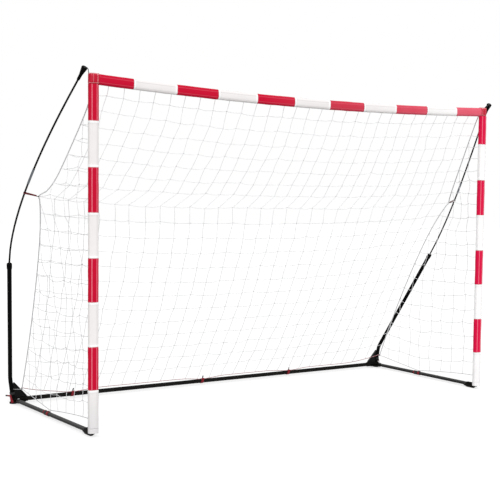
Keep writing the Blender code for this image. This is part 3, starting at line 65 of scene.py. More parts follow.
# Sizes and lines of the part, as its source gives them
INNER_WIDTH = 3.000
CORNER_HEIGHT = 2.015
BASE_DEPTH = 1.082
CROSSBAR_SAG = 0.040
POST_LEAN = 0.035
POST_SPLAY = 0.012
SLEEVE_WIDTH = 0.066
SLEEVE_THICKNESS = 0.044
CROSSBAR_BANDS = 11
SOLE_HEIGHT = 0.010
CUFF_HEIGHT = 0.038
FOOT_DISC_RADIUS = 0.024
BAR_RADIUS = 0.014
BAR_HEIGHT = 0.025
RAIL_RADIUS = 0.0125
RAIL_HEIGHT = 0.0235
UPRIGHT_OUTSET = 0.0105
UPRIGHT_RADIUS = 0.0135
UPRIGHT_FOOT_Z = 0.0125
STUB_SLOPE = 0.154
POLE_RADIUS = 0.0055
POLE_END_OUTSET = 0.0845
POLE_END_DEPTH = 0.076
POLE_END_DROP = 0.043
CAP_DIRECTION = Vector((-0.236, -0.737, 1.0)).normalized()
CAP_LENGTH = 0.086
CAP_TOP_RADIUS = 0.0175
CORD_RADIUS = 0.0025
HEM_RADIUS = 0.0022
TIE_Z = 1.326
TIE_OUTSET = 0.131
TIE_DEPTH = 0.458
TIE_POLE = Vector((1.74699, -0.06519, 1.345))           # right pole's axis at its tie
TIE_THROUGH = Vector((-0.08189, -0.50608, 0.85859))     # direction through the tie's loop
TIE_STRAIGHT = 0.010
CORNER_Z = 0.100
CORNER_INSET = 0.016
CORNER_SETBACK = 0.070
UPPER_SAG = (0.043, 0.033)   # border cord's sag above its tie, inwards and forwards
LOWER_SAG = (0.045, -0.028)
SAG_START = 8                # powers that say how soon the sag sets in and how late it ends
UPPER_SAG_END = 14
LOWER_SAG_END = 3
BACK_HEM_Z = 0.056
BACK_HEM_SETBACK = 0.020
BACK_HEM_DIP = 0.012
BACK_HEM_LIFT = 0.010        # hem's ends above the corner link
HEM_FLAT = 0.015
HEM_DIP_REACH = 0.100
HEM_RISE_START = 1.153
BACK_STRAPS_X = {"left": -1.135, "centre": -0.120, "right": 0.650}
SIDE_HEM_POST_Z = 0.092
SIDE_HEM_DIP_Z = 0.044
SIDE_HEM_DIP_POWER = 1.5
SIDE_HEM_RISE = 1.08         # the hem is up at the corner's height a little before the corner
RAIL_STRAP_DEPTH = 0.580
STRAP_WIDTH = 0.020
STRAP_THICKNESS = 0.002
GAP = 0.0003                 # air between pieces that lie against each other

POST_X = INNER_WIDTH / 2 + SLEEVE_WIDTH / 2
CORNER_X = POST_X + POST_SPLAY
UPRIGHT_X = POST_X + UPRIGHT_OUTSET
MID_DEPTH = (BASE_DEPTH + FOOT_DISC_RADIUS - SLEEVE_THICKNESS / 2) / 2
CROSSBAR_HALF = CORNER_X + SLEEVE_WIDTH / 2
CORNER_AXIS_Z = CORNER_HEIGHT - SLEEVE_WIDTH / 2
CORNER_DEPTH = BASE_DEPTH - CORNER_SETBACK
BACK_HEM_DEPTH = BASE_DEPTH - BACK_HEM_SETBACK
POLE_END_Z = CORNER_HEIGHT - POLE_END_DROP

# Sleeves of the soft frame
SLEEVE_SIDES = 44
SLEEVE_SQUARENESS = 2.8
CLOTH_WIDTH = 0.060          # the cloth hangs a little slacker than the sleeve's full section
CLOTH_THICKNESS = 0.038
CLOTH_WALL = 0.001
CLOSING = (0.5, 0.999)       # rings that close a sleeve's end, on the way to its middle
POST_SEAMS = (0.263, 0.503, 0.751, 0.995, 1.247, 1.496, 1.751)     # heights
CROSSBAR_SEAM_START = -1.2990
CROSSBAR_SEAM_PITCH = 0.2852
STATION_STEP = 0.012         # sections of a sleeve are about this far apart
SEAM_STATIONS = (0.0, 0.003, 0.007)      # and closer together next to a seam
HEM_EDGE = 0.0006            # half the length of the step at a hem's edge
HEM_STEP = 0.0005            # double cloth of a white band's hems stands this proud
SEAM_PINCH = 0.988           # section at a sewn seam, as a share of the full section
SEAM_REACH = 0.010
FOLDS = 16                   # folds of the cloth as noise, in turns per metre
FINE_FOLDS = 48
FINE_SHIFT = 7               # sets the fine folds apart from the long ones
FINE_SHARE = 0.35
PUCKERS = 110
PUCKER_SHARE = 0.22
PUCKER_SHIFT = 3.0
PUCKER_REACH = 0.018

# Cuff and moulded foot
CUFF_HEM_Z = 0.021           # lower edge of the cuff's cloth
CUFF_HEM = ((0.0, 0.985, 0.030), (0.001, 0.995, 0.031), (0.006, 1.0, 0.036),
            (0.007, 0.996, 0.037))       # rise above that edge, scale, distance from the seam
CUFF_HEAD = ((0.001, 1.0, 0.050), (0.0, 0.997, 0.055))     # drop below the upper edge, and the same
CUFF_LIP = 0.003             # inner rings next to the two edges
PEG_WIDTH = 0.0570
PEG_THICKNESS = 0.0350
PEG_LEVELS = ((0.0225, 0.90), (0.0255, 1.0), (0.0380, 1.0), (0.0440, 0.85))     # height, scale
# Rows of the foot: depth, lowest and highest point, half width
FOOT_BLOCK = ((0.0205, 0.004, 0.030, 0.013), (0.0225, 0.000, 0.0335, 0.0165),
              (0.030, 0.000, 0.0376, 0.0180), (0.045, 0.000, 0.0388, 0.0180),
              (0.080, 0.000, 0.0386, 0.0175), (0.0835, 0.0005, 0.0380, 0.0165),
              (0.0840, 0.001, 0.0240, 0.0120), (0.104, 0.006, 0.0220, 0.0115),
              (0.124, 0.013, 0.0205, 0.0080))
FOOT_TONGUE = ((-0.004, 0.014, 0.024, 0.006), (-0.002, 0.012, 0.025, 0.008),
               (0.022, 0.008, 0.025, 0.010))
FOOT_UV_STEP = 0.01
FOOT_SHARP = 35              # degrees from which an edge of the foot is sharp

# Corner patch and its tab
PATCH_STEPS = 12
PATCH_TURN = math.radians(87)
PATCH_SQUARENESS = 4.0
PATCH_DROOP = 0.10           # how much lower the patch is at its outer end
PATCH_FOLDS = 1.7            # its folds are this much finer and deeper than the sleeves'
PATCH_FOLD_DEPTH = 1.6
PATCH_SEAM = 0.004           # it is puckered as cloth is so near a seam
TAB_THICKNESS = 0.0015
TAB_WIDTH = 0.012
TAB_CLEAR = 0.002
TAB_ROOT = 0.012
TAB_DROP = 0.006
TAB_REACH = 0.0105
TAB_BEND = ((0.004, 0.0), (0.001, -0.001), (-0.0005, -0.004))      # from its knee over the cap
TAB_STEPS = 12

# Nets. Their hang at mid span is heights and depths, to the tied row and on to the hem
UPPER_HANG = ((1.940, 0.066), (1.780, 0.130), (1.610, 0.225), (1.440, 0.355), (1.360, 0.425),
              (1.272, 0.480))
LOWER_HANG = ((1.272, 0.480), (1.180, 0.492), (1.000, 0.545), (0.820, 0.620), (0.640, 0.700),
              (0.460, 0.800), (0.260, 0.920), (0.070, 1.056))
LOWER_SHIFT = -0.068         # lower part of the net hangs this much off the upper part's columns
LOWER_SHIFT_POWER = 6        # how near the sides that shift dies away
NET_EDGE_POWER = 3.0         # how near the sides the net turns towards its border cords
CORD_CLEAR = 0.0035          # strand's end from the border cord's axis
LACE_CLEAR = 0.0028          # top row of the back net behind the crossbar's cloth
HEAD_CORD_CLEAR = 0.0035
HEAD_CORD_RADIUS = 0.002
HEAD_CORD_STEPS = 60
SIDE_LACE_CLEAR = 0.003      # side nets behind the posts' cloth
SIDE_TOP_DROP = 0.05         # side nets start this far below the corner
SIDE_LAST_MESH = 0.35        # narrowest last mesh of a side net's row, as a share of a whole one
SIDE_ROW_SAG = 0.010
SIDE_SLACK = 1.6             # side strands sag and bow this much more than the back net's
SIDE_WAVE = 2
STRAND_STEPS = 4
STRAND_SIDES = 5
KNOT_SHAPE = (1.25, 0.9, 1.0)
KNOT_AXIS_LIFT = 0.1         # keeps the random axis of a knot's turn away from zero
BACK_KNOT_SEED, BACK_STRAND_SEED = 11, 23
SIDE_KNOT_SEED, SIDE_STRAND_SEED = 5, 31
HALVINGS = 24                # of a stretch of cord, to find a point on it

# Cords
ROPE_RADIUS = 0.0033         # braided cord with its fuzz
ROPE_STEPS = 90
ROPE_SIDES = 10
CORD_SIDES = 8
LINK_RADIUS = 0.0014
LINK_DROP = 0.006
LINK_STEPS = 4
LINK_KNOT = Vector((0.0065, 0.0050, 0.0050))
LINK_KNOT_RISE = 0.006
LINK_KNOT_TURN = 0.6
SIDE_HEM_STEPS = 44
SIDE_HEM_INSET = (0.02, 0.03)       # its even stretch from the post and from the corner
BACK_HEM_STEPS = 240

# Straps and ties
WEBBING_EDGE = 0.3           # rounded edge of a strap, as a share of its thickness
LOOP_STEPS = 14
THIN = 0.7                   # an end's thickness, as a share of its strap's
NARROW = 0.8                 # and its width
SHARP = 50                   # degrees from which an edge of webbing is sharp
LABEL_HEIGHT = 0.024
LABEL_WIDTH = 0.016
LABEL_THICKNESS = 0.001
LABEL_STEPS = 4
BACK_TAIL_WIDTH = 0.009
BACK_TAIL_STEPS = 6
BACK_TAIL_LEAN = 0.007
BACK_TAIL_BOW = (0.004, 2.2)        # how far, and over which angle of a sine
RAIL_STRAP_STEPS = 28
RAIL_WRAPS = ((0.0270, 0.034, 1), (0.0490, 0.010, 0))    # place behind the strap, width, finish
RAIL_WRAP_SINK = 0.0004      # wraps lie this much lower than the strap
RAIL_END = (math.radians(70), math.radians(125))         # angles round the rail
RAIL_END_LIFT = 0.0015
RAIL_END_STEPS = 6
CORNER_STRAP_Z = 0.066
CORNER_STRAP_TURN = math.radians(150)
CORNER_STRAP_STEPS = 30
TAIL_LENGTH = 0.030
TAIL_LOW = 0.014             # tail's root below the strap's ring, and how much of that it regains
TAIL_RISE = 0.011
TAIL_WIDTH = 0.0096
TAIL_STEPS = 8
TAIL_RED_STEPS = 5
HANG_OUT = (0.0235, 0.0258)  # strap's hanging end, from the hub's axis as it winds down round it
HANG_TURN = (math.radians(12), math.radians(58))
HANG_HIGH = 0.058
HANG_LOW = 0.009
HANG_WIDTH = 0.015
HANG_STEPS = 12
TIE_STRAP_WIDTH = 0.007
TIE_STRAP_SHARE = 0.78       # strap's share of the way from the pole to the cord
TIE_STRAP_THICKNESS = 0.0015
TIE_RING_RADIUS = 0.0014
TIE_CORD_RADIUS = 0.0016
TIE_CORD_CLEAR = 0.002
TIE_CORD_SAG = 0.0025
TIE_CORD_STEPS = 10
TIE_KNOTS = ((0, 0.0036), (4, 0.0034), (10, 0.0048))     # step of the tie's cord, knot's size
TIE_KNOT_SHAPE = (1.2, 1.0, 0.9)
TIE_KNOT_TURN = 0.5


def sizes():
    """The goal's sizes, as the user has set them."""
    return bpy.context.scene.goal_sizes


def at(x, depth, z):
    """World position of a point given by its depth behind the post line."""
    return Vector((x, depth - MID_DEPTH, z))


def mirrored(points, side):
    """Right-hand points, or their mirror image for the left."""
    return [Vector((side * p.x, p.y, p.z)) for p in points]


def evenly(first, last, count):
    """Numbers from the first to the last in equal steps, both among them."""
    return [first + (last - first) * i / count for i in range(count + 1)]


def steps_of(points):
    """Distances from each point of a line to the next."""
    return [(b - a).length for a, b in zip(points, points[1:])]


def distances(points):
    """Distance along a line from its start to each of its points."""
    return list(accumulate(steps_of(points), initial=0.0))


def runs(points):
    """Way a line runs at each of its points, from the point before to the one after."""
    return [b - a for a, b in zip(points[:1] + points, points[1:] + points[-1:])]


def spread(points, count):
    """Points of a line at equal distances along it, both ends among them."""
    lengths = steps_of(points)
    spaced = []
    for run in evenly(0.0, sum(lengths), count):
        for a, b, length in zip(points, points[1:], lengths):
            if run <= length + ROUNDING:
                spaced.append(a.lerp(b, min(run / length, 1.0)))
                break
            run -= length
        else:
            spaced.append(points[-1])
    return spaced


def directions(x_axis, y_axis, angles):
    """Directions at angles from one axis towards another."""
    return [x_axis * math.cos(angle) + y_axis * math.sin(angle) for angle in angles]


# Lines of the part that the soft pieces follow


def post_point(side, z):
    """Axis of a post sleeve at a height."""
    share = z / CORNER_HEIGHT
    return at(side * (POST_X + POST_SPLAY * share), POST_LEAN * share, z)


def crossbar_point(x):
    """Axis of the crossbar sleeve at a distance from the middle."""
    share = min(abs(x) / CROSSBAR_HALF, 1.0)
    return at(x, POST_LEAN, CORNER_AXIS_Z - CROSSBAR_SAG * (1 - share ** 2))


def stub_x(z):
    """Distance of the upright's axis from the middle below its bend."""
    return UPRIGHT_X + STUB_SLOPE * (z - UPRIGHT_FOOT_Z)


def cord_anchors():
    """Top, tie and low corner of the right border cord of the net."""
    top = at(CORNER_X, POST_LEAN + SLEEVE_THICKNESS / 2 + CORD_RADIUS + GAP, CORNER_AXIS_Z)
    tie = at(POST_X + TIE_OUTSET, TIE_DEPTH, TIE_Z)
    low = at(POST_X - CORNER_INSET, CORNER_DEPTH, CORNER_Z)
    return top, tie, low


def cord_point(z):
    """Point of the right border cord at a height. It sags between its ends and the tie."""
    top, tie, low = cord_anchors()
    if abs(z - tie.z) < TIE_STRAIGHT + GAP:
        return tie + TIE_THROUGH * ((z - tie.z) / TIE_THROUGH.z)
    if z >= tie.z:
        start, end, sag, power = top, tie, UPPER_SAG, UPPER_SAG_END
    else:
        start, end, sag, power = tie, low, LOWER_SAG, LOWER_SAG_END
    share = (start.z - z) / (start.z - end.z)
    bulge = (1 - (1 - share) ** SAG_START) * (1 - share ** power)
    return start.lerp(end, share) - Vector((sag[0] * bulge, sag[1] * bulge, 0.0))


def side_hem_z(depth):
    """Height of the side net's hem: low at the rail strap, higher at the post and the corner."""
    post_depth = SLEEVE_THICKNESS / 2
    if depth < RAIL_STRAP_DEPTH:
        share = max((depth - post_depth) / (RAIL_STRAP_DEPTH - post_depth), 0.0)
        return SIDE_HEM_POST_Z + (SIDE_HEM_DIP_Z - SIDE_HEM_POST_Z) * share ** SIDE_HEM_DIP_POWER
    share = (depth - RAIL_STRAP_DEPTH) / (CORNER_DEPTH - RAIL_STRAP_DEPTH)
    return SIDE_HEM_DIP_Z + (CORNER_Z - SIDE_HEM_DIP_Z) * min(SIDE_HEM_RISE * share, 1.0)


def back_hem_point(x):
    """Axis of the back net's hem: it rises to the corners and dips at each strap."""
    low = cord_anchors()[2]
    share = max((abs(x) - HEM_RISE_START) / (low.x - HEM_RISE_START), 0.0)
    z = BACK_HEM_Z + (CORNER_Z + BACK_HEM_LIFT - BACK_HEM_Z) * share ** 2
    for strap_x in BACK_STRAPS_X.values():
        away = max(abs(x - strap_x) - HEM_FLAT, 0.0)
        z -= BACK_HEM_DIP * math.exp(-(away / HEM_DIP_REACH) ** 2)
    depth = BACK_HEM_DEPTH + (CORNER_DEPTH - BACK_HEM_DEPTH) * share ** 2
    return at(x, depth, z)


# Pieces while they are made


def coarse_ball():
    """Points and faces of a coarse ball, from which the knots are made."""
    bm = bmesh.new()
    bmesh.ops.create_icosphere(bm, subdivisions=1, radius=1.0)
    points = [tuple(v.co) for v in bm.verts]
    faces = [tuple(v.index for v in face.verts) for face in bm.faces]
    bm.free()
    return points, faces


BALL_POINTS, BALL_FACES = coarse_ball()


def frames_along(points):
    """Two cross directions at each point of a line, carried along it without twist."""
    frames = []
    side = Vector((0.37, 0.61, 0.70))        # any direction that the line doesn't start in
    for run in runs(points):
        tangent = run.normalized()
        side = side - tangent * side.dot(tangent)
        if side.length < NO_SIDE:
            side = tangent.orthogonal()
        side.normalize()
        frames.append((side, tangent.cross(side)))
    return frames


class Piece:
    """Points, faces, UVs and finish numbers of one piece while it is being made."""

    def __init__(self):
        self.points, self.faces, self.uvs, self.numbers = [], [], [], []

    def face(self, corners, uvs, number):
        """One face with its UVs and the number of its finish."""
        self.faces.append(corners)
        self.uvs += uvs
        self.numbers.append(number)

    def skin(self, rings, across, along, number=0, capped=False):
        """Join closed rings of points. Across and along are the UVs of columns and rings."""
        first, size = len(self.points), len(rings[0])
        for ring in rings:
            self.points += ring
        for i in range(len(rings) - 1):
            low, high = first + i * size, first + (i + 1) * size
            for j in range(size):
                k = (j + 1) % size
                self.face((low + j, low + k, high + k, high + j),
                          [(across[j], along[i]), (across[j + 1], along[i]),
                           (across[j + 1], along[i + 1]), (across[j], along[i + 1])], number)
        for i in (0, len(rings) - 1) if capped else ():
            self.face(tuple(first + i * size + j for j in range(size)),
                      [(across[j], along[i]) for j in range(size)], number)

    def close(self, ring, across, along, number=0):
        """Close the end of a sleeve towards its middle."""
        centre = sum(ring, Vector()) / len(ring)
        rings = [ring] + [[p.lerp(centre, share) for p in ring] for share in CLOSING]
        self.skin(rings, across, [along] * len(rings), number)

    def tube(self, points, radius, sides, number=0, capped=True):
        """A round cord or strand along a line."""
        turns = [(math.cos(angle), math.sin(angle)) for angle in evenly(0, 2 * math.pi, sides)[:-1]]
        rings = [[point + (side * c + other * s) * radius for c, s in turns]
                 for point, (side, other) in zip(points, frames_along(points))]
        across = evenly(0, 2 * math.pi * radius, sides)
        self.skin(rings, across, distances(points), number, capped)

    def webbing(self, points, normals, width, thickness, number=0, looped=False):
        """A flat strap along a line. The normals point out of its face."""
        w, t, edge = width / 2, thickness / 2, thickness * WEBBING_EDGE
        section = [(-w, edge - t), (edge - w, -t), (w - edge, -t), (w, edge - t), (w, t - edge),
                   (w - edge, t), (edge - w, t), (-w, t - edge)]
        across = [p[0] for p in section] + [section[0][0]]
        if looped:
            points, normals = points + points[:1], normals + normals[:1]
        ways = runs(points)
        if looped:
            ways[0] = ways[-1] = points[1] - points[-2]
        rings = []
        for point, normal, way in zip(points, normals, ways):
            side = way.cross(normal).normalized()
            rings.append([point + side * u + normal * v for u, v in section])
        self.skin(rings, across, distances(points), number, capped=not looped)

    def knot(self, centre, size, turn):
        """A knot: a small rounded lump in the piece's second finish."""
        first = len(self.points)
        self.points += [centre + turn @ (Vector(p) * size) for p in BALL_POINTS]
        for face in BALL_FACES:
            self.face(tuple(first + i for i in face), [(0.0, 0.0)] * len(face), 1)

    def make(self, name, finishes, body, stands_for, slot, sharp=None):
        """Turn what has been gathered into an object that rides on a body."""
        old = bpy.data.objects.get(name)
        if old is not None:
            bpy.data.objects.remove(old, do_unlink=True)
        mesh = bpy.data.meshes.new(name)
        mesh.from_pydata(self.points, [], self.faces)
        layer = mesh.uv_layers.new(name="cut")
        layer.data.foreach_set("uv", [value for uv in self.uvs for value in uv])
        mesh.polygons.foreach_set("material_index", self.numbers)
        bm = bmesh.new()
        bm.from_mesh(mesh)
        bmesh.ops.remove_doubles(bm, verts=bm.verts[:], dist=SAME_POINT)
        bmesh.ops.recalc_face_normals(bm, faces=bm.faces[:])
        bm.to_mesh(mesh)
        bm.free()
        mesh.shade_smooth()
        if sharp is not None:
            mesh.set_sharp_from_angle(angle=math.radians(sharp))
        for finish_name in finishes:
            mesh.materials.append(finish(finish_name))
        obj = bpy.data.objects.new(name, mesh)
        bpy.context.scene.collection.objects.link(obj)
        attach(obj, body)
        if stands_for:
            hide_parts(*stands_for)
        return obj


# Soft frame


def signed_power(value, power):
    """A power of how large a number is, with the sign it had."""
    return math.copysign(abs(value) ** power, value)


def sleeve_section(width, thickness, squareness=SLEEVE_SQUARENESS):
    """Rounded section: across, forwards, and the distance round it from its front middle."""
    power = 2 / squareness
    outline = [(signed_power(math.sin(math.pi * share), power) * width / 2,
                signed_power(math.cos(math.pi * share), power) * thickness / 2)
               for share in evenly(-1, 1, SLEEVE_SIDES)]
    rounds = list(accumulate(map(math.dist, outline, outline[1:]), initial=0.0))
    return [(u, v, r - rounds[-1] / 2) for (u, v), r in zip(outline, rounds)]


def outward(u, v):
    """Unit direction out of the sleeve's section at one of its points."""
    power = SLEEVE_SQUARENESS - 1
    x = signed_power(2 * u / CLOTH_WIDTH, power) / CLOTH_WIDTH
    y = signed_power(2 * v / CLOTH_THICKNESS, power) / CLOTH_THICKNESS
    length = math.hypot(x, y)
    return x / length, y / length


def creases(place, round_it, seam_distance):
    """Small folds of the coated cloth: long soft ones, and puckers along each sewn seam."""
    fold = noise.noise(place * FOLDS)
    fine = noise.noise(Vector((place.x * FINE_FOLDS, place.y * FINE_FOLDS + FINE_SHIFT,
                               place.z * FINE_FOLDS)))
    pucker = noise.noise(Vector((round_it * PUCKERS, place.x + place.z, PUCKER_SHIFT)))
    near = math.exp(-seam_distance / PUCKER_REACH)
    return sizes().crease_depth * (fold + FINE_SHARE * fine + PUCKER_SHARE * pucker * near)


def sleeve_rings(stations, point_at, across_way, seams, hemmed):
    """Sections of a sleeve band at places along it."""
    section = sleeve_section(CLOTH_WIDTH, CLOTH_THICKNESS)[:-1]
    rings = []
    for place in stations:
        centre = point_at(place)
        from_seam = min(abs(place - seam) for seam in seams)
        scale = 1 - (1 - SEAM_PINCH) * math.exp(-(from_seam / SEAM_REACH) ** 2)
        proud = HEM_STEP if hemmed and from_seam < sizes().hem_strip else 0.0
        ring = []
        for u, v, round_it in section:
            flat = centre + across_way * (u * scale) - BACK * (v * scale)
            nu, nv = outward(u, v)
            lift = creases(flat, round_it, from_seam) + proud
            ring.append(flat + (across_way * nu - BACK * nv) * lift)
        rings.append(ring)
    return rings


def band_stations(start, end):
    """Places along one band, closer together next to its seams."""
    hem = sizes().hem_strip
    near = [*SEAM_STATIONS, hem - HEM_EDGE, hem + HEM_EDGE]
    count = round((end - start - 2 * hem) / STATION_STEP)
    middle = [start + hem + (end - start - 2 * hem) * i / count for i in range(1, count)]
    return [start + n for n in near] + middle + [end - n for n in reversed(near)]


def make_sleeve(name, seams, point_at, across_way, finishes, first_number, node):
    """A soft sleeve sewn from bands of two colours, each band with its own finish number.

    UVs hold the band's number plus the distance round the section, and the distance from the
    band's nearer seam.
    """
    piece = Piece()
    rounds = [r for _, _, r in sleeve_section(CLOTH_WIDTH, CLOTH_THICKNESS)]
    last = len(seams) - 2
    for band, (start, end) in enumerate(zip(seams, seams[1:])):
        number = (band + first_number) % 2
        stations = band_stations(start, end)
        sewn = ([start] if band else []) + ([end] if band < last else [])
        rings = sleeve_rings(stations, point_at, across_way, sewn, number == 1)
        along = [min(abs(place - seam) for seam in sewn) for place in stations]
        across = [band + r for r in rounds]
        piece.skin(rings, across, along, number)
        if band == 0:
            piece.close(rings[0], across, 0.0, number)
        if band == last:
            piece.close(rings[-1], across, 0.0, number)
    sleeve = piece.make(name, finishes, "base_frame", (node,), "sleeve_red")


def make_post_sleeve(name, side):
    """Post sleeve of eight bands, white at the foot and red at the top."""
    foot = SOLE_HEIGHT + CUFF_HEIGHT + 2 * GAP
    head = CORNER_AXIS_Z - CLOTH_WIDTH / 2 - GAP
    make_sleeve(f"{name}_post_fabric", [foot, *POST_SEAMS, head], lambda z: post_point(side, z),
                ACROSS, ("sleeve_red", "sleeve_white"), 1, f"{name}_post_sleeve")


def make_crossbar():
    """Crossbar sleeve of eleven bands, between the two corner patches."""
    end = CORNER_X - CLOTH_WIDTH / 2 - GAP
    inner = [CROSSBAR_SEAM_START + i * CROSSBAR_SEAM_PITCH for i in range(CROSSBAR_BANDS - 1)]
    make_sleeve("crossbar_fabric", [-end, *inner, end], crossbar_point, UP,
                ("bar_red", "sleeve_white"), 0, "crossbar_sleeve")


def level_ring(side, section, z, scale=1.0):
    """A level section of the cuff, or of the peg inside it, at a height."""
    centre = post_point(side, 0.0)
    return [centre + Vector((u * scale, -v * scale, z)) for u, v, _ in section[:-1]]


def make_cuff(name, side):
    """Lowest stretch of the post sleeve. It stays on the foot when the rail folds."""
    outer = sleeve_section(CLOTH_WIDTH, CLOTH_THICKNESS)
    inner = sleeve_section(CLOTH_WIDTH - 2 * CLOTH_WALL, CLOTH_THICKNESS - 2 * CLOTH_WALL)
    low, high = CUFF_HEM_Z, SOLE_HEIGHT + GAP + CUFF_HEIGHT
    levels = [(outer, low + rise, scale, along) for rise, scale, along in CUFF_HEM]
    levels += [(outer, high - drop, scale, along) for drop, scale, along in CUFF_HEAD]
    upper = CUFF_HEAD[-1][-1]
    levels += [(inner, z, 1.0, upper) for z in (high, high - CUFF_LIP, low + CUFF_LIP, low)]
    levels.append((outer, low, CUFF_HEM[0][1], upper))
    piece = Piece()
    piece.skin([level_ring(side, *level[:3]) for level in levels], [r for _, _, r in outer],
               [level[3] for level in levels])
    piece.make(f"{name}_cuff_fabric", ("sleeve_white",), f"{name}_rail", (f"{name}_sleeve_cuff",),
               "sleeve_white")


def foot_ring(side, depth, low, high, half_width):
    """Rounded section of the moulded foot at a depth behind the post line."""
    middle, half = (low + high) / 2, (high - low) / 2
    centre = at(side * POST_X, depth, middle)
    return [centre + Vector((2 * u * half_width, 0, 2 * v * half))
            for u, v, _ in sleeve_section(1.0, 1.0)[:-1]]


def make_foot(name, side):
    """Moulded front foot: block round the rail's end, wedge under the rail, tongue and peg."""
    forms = [[foot_ring(side, *row) for row in rows] for rows in (FOOT_BLOCK, FOOT_TONGUE)]
    peg = sleeve_section(PEG_WIDTH, PEG_THICKNESS)
    forms.append([level_ring(side, peg, z, scale) for z, scale in PEG_LEVELS])
    piece = Piece()
    for rings in forms:
        along = [FOOT_UV_STEP * i for i in range(len(rings))]
        piece.skin(rings, evenly(0, 1, SLEEVE_SIDES), along, capped=True)
    piece.make(f"{name}_foot_moulding", ("black_plastic",), f"{name}_rail", (f"{name}_front_foot",),
               "black_plastic", FOOT_SHARP)


def make_corner_patch(name, side):
    """Sewn corner of the fabric frame, squarer than the sleeves and rounded over at its end."""
    square = sleeve_section(CLOTH_WIDTH, CLOTH_THICKNESS, PATCH_SQUARENESS)
    plain = sleeve_section(CLOTH_WIDTH, CLOTH_THICKNESS)
    middle = crossbar_point(side * CROSSBAR_HALF)
    middle.x = side * CORNER_X
    power = 2 / SLEEVE_SQUARENESS
    rings, along = [], []
    for share in evenly(-1, 1, 2 * PATCH_STEPS):
        angle = max(share, 0.0) * PATCH_TURN
        thin = math.cos(angle) ** power
        offset = CLOTH_WIDTH / 2 * (math.sin(angle) ** power if share > 0 else share)
        blend = min(1 + share, 1.0)
        lower = 1 - PATCH_DROOP * (1 - thin) ** 2
        ring = []
        for (u, v, round_it), (pu, pv, _) in zip(square[:-1], plain[:-1]):
            u, v = pu + (u - pu) * blend, pv + (v - pv) * blend
            flat = middle + Vector((side * offset, -v * thin, u * lower))
            nu, nv = outward(u, v)
            lift = PATCH_FOLD_DEPTH * creases(flat * PATCH_FOLDS, round_it, PATCH_SEAM) * blend
            ring.append(flat + Vector((0, -nv * thin, nu)) * lift)
        rings.append(ring)
        along.append(offset)
    piece = Piece()
    across = [r for _, _, r in square]
    piece.skin(rings, across, along)
    for end in (0, -1):
        piece.close(rings[end], across, along[end])
    patch = piece.make(f"{name}_corner_fabric", ("sleeve_patch",), "base_frame",
                       (f"{name}_corner_patch",), "sleeve_red")


def make_corner_tab(name, side):
    """Webbing tab from the corner patch over the end of the pole's cap."""
    out = CAP_DIRECTION
    end = at(POST_X + POLE_END_OUTSET, POLE_END_DEPTH, POLE_END_Z) + out * CAP_LENGTH
    along = (ACROSS - out * ACROSS.dot(out)).normalized()
    rear = out.cross(along)
    middle = GAP + TAB_THICKNESS / 2
    knee = -CAP_TOP_RADIUS - TAB_CLEAR + TAB_THICKNESS / 2
    corners = [(TAB_REACH, middle)] + [(knee + a, middle + b) for a, b in TAB_BEND]
    corners.append((TAB_ROOT - end.x + CORNER_X, CORNER_HEIGHT - end.z - TAB_ROOT))
    line = spread([end - rear * TAB_DROP + along * a + out * b for a, b in corners], TAB_STEPS)
    normals = [run.cross(rear).normalized() for run in runs(line)]
    piece = Piece()
    piece.webbing(mirrored(line, side), mirrored(normals, side), TAB_WIDTH, TAB_THICKNESS)
    piece.make(f"{name}_corner_tab", ("webbing_black",), "base_frame", (), "black_plastic", SHARP)


# Net


def hang_line(line):
    """Points of the net's line at mid span."""
    return [at(0.0, depth, z) for z, depth in line]


def hang_rows():
    """How many meshes the net has above and below its tied row."""
    return [round(sum(steps_of(hang_line(line))) / sizes().mesh_pitch)
            for line in (UPPER_HANG, LOWER_HANG)]


def edge_heights():
    """Heights on the border cord at which the net's rows meet it."""
    above, below = hang_rows()
    top, _, low = cord_anchors()
    return evenly(top.z, TIE_Z, above) + evenly(TIE_Z, low.z, below)[1:]


def stray(dice, distance):
    """A random step away from where a knot would be in an even net."""
    return Vector([dice.gauss(0, distance) for _ in range(3)])


def net_knots():
    """Knots of the back net, row by row from the crossbar down."""
    above, below = hang_rows()
    middle = spread(hang_line(UPPER_HANG), above) + spread(hang_line(LOWER_HANG), below)[1:]
    columns = round(2 * POST_X / sizes().mesh_pitch)
    dice = random.Random(BACK_KNOT_SEED)
    rows = []
    for row, (centre, height) in enumerate(zip(middle, edge_heights())):
        edge = cord_point(height)
        knots = []
        for column, share in enumerate(evenly(-1, 1, columns)):
            weight = abs(share) ** NET_EDGE_POWER
            point = centre.lerp(edge, weight)
            point.x = share * (edge.x - CORD_CLEAR)
            if row >= above:
                point.x += LOWER_SHIFT * (1 - share ** LOWER_SHIFT_POWER)
            if row == 0:
                bar = crossbar_point(point.x)
                point.y, point.z = bar.y + CLOTH_THICKNESS / 2 + LACE_CLEAR, bar.z
            elif row == above + below:
                hem = back_hem_point(point.x)
                point.y, point.z = hem.y, hem.z + HEM_RADIUS
            elif 0 < column < columns:
                point += stray(dice, sizes().net_unevenness)
                drop = crossbar_point(point.x).z - crossbar_point(0).z
                point.z += drop * (1 - weight) * max(1 - row / above, 0)
            knots.append(point)
        rows.append(knots)
    return rows


def strand(a, b, sag, dice, wave):
    """A strand between two knots that hangs a little and isn't quite straight."""
    bend = Vector((dice.gauss(0, wave), dice.gauss(0, wave), dice.gauss(0, wave) - sag))
    return [a.lerp(b, i / STRAND_STEPS) + bend * math.sin(math.pi * i / STRAND_STEPS)
            for i in range(STRAND_STEPS + 1)]


def add_strands(piece, lines):
    """The net's twine along some lines."""
    for line in lines:
        piece.tube(line, sizes().twine_diameter / 2, STRAND_SIDES, capped=False)


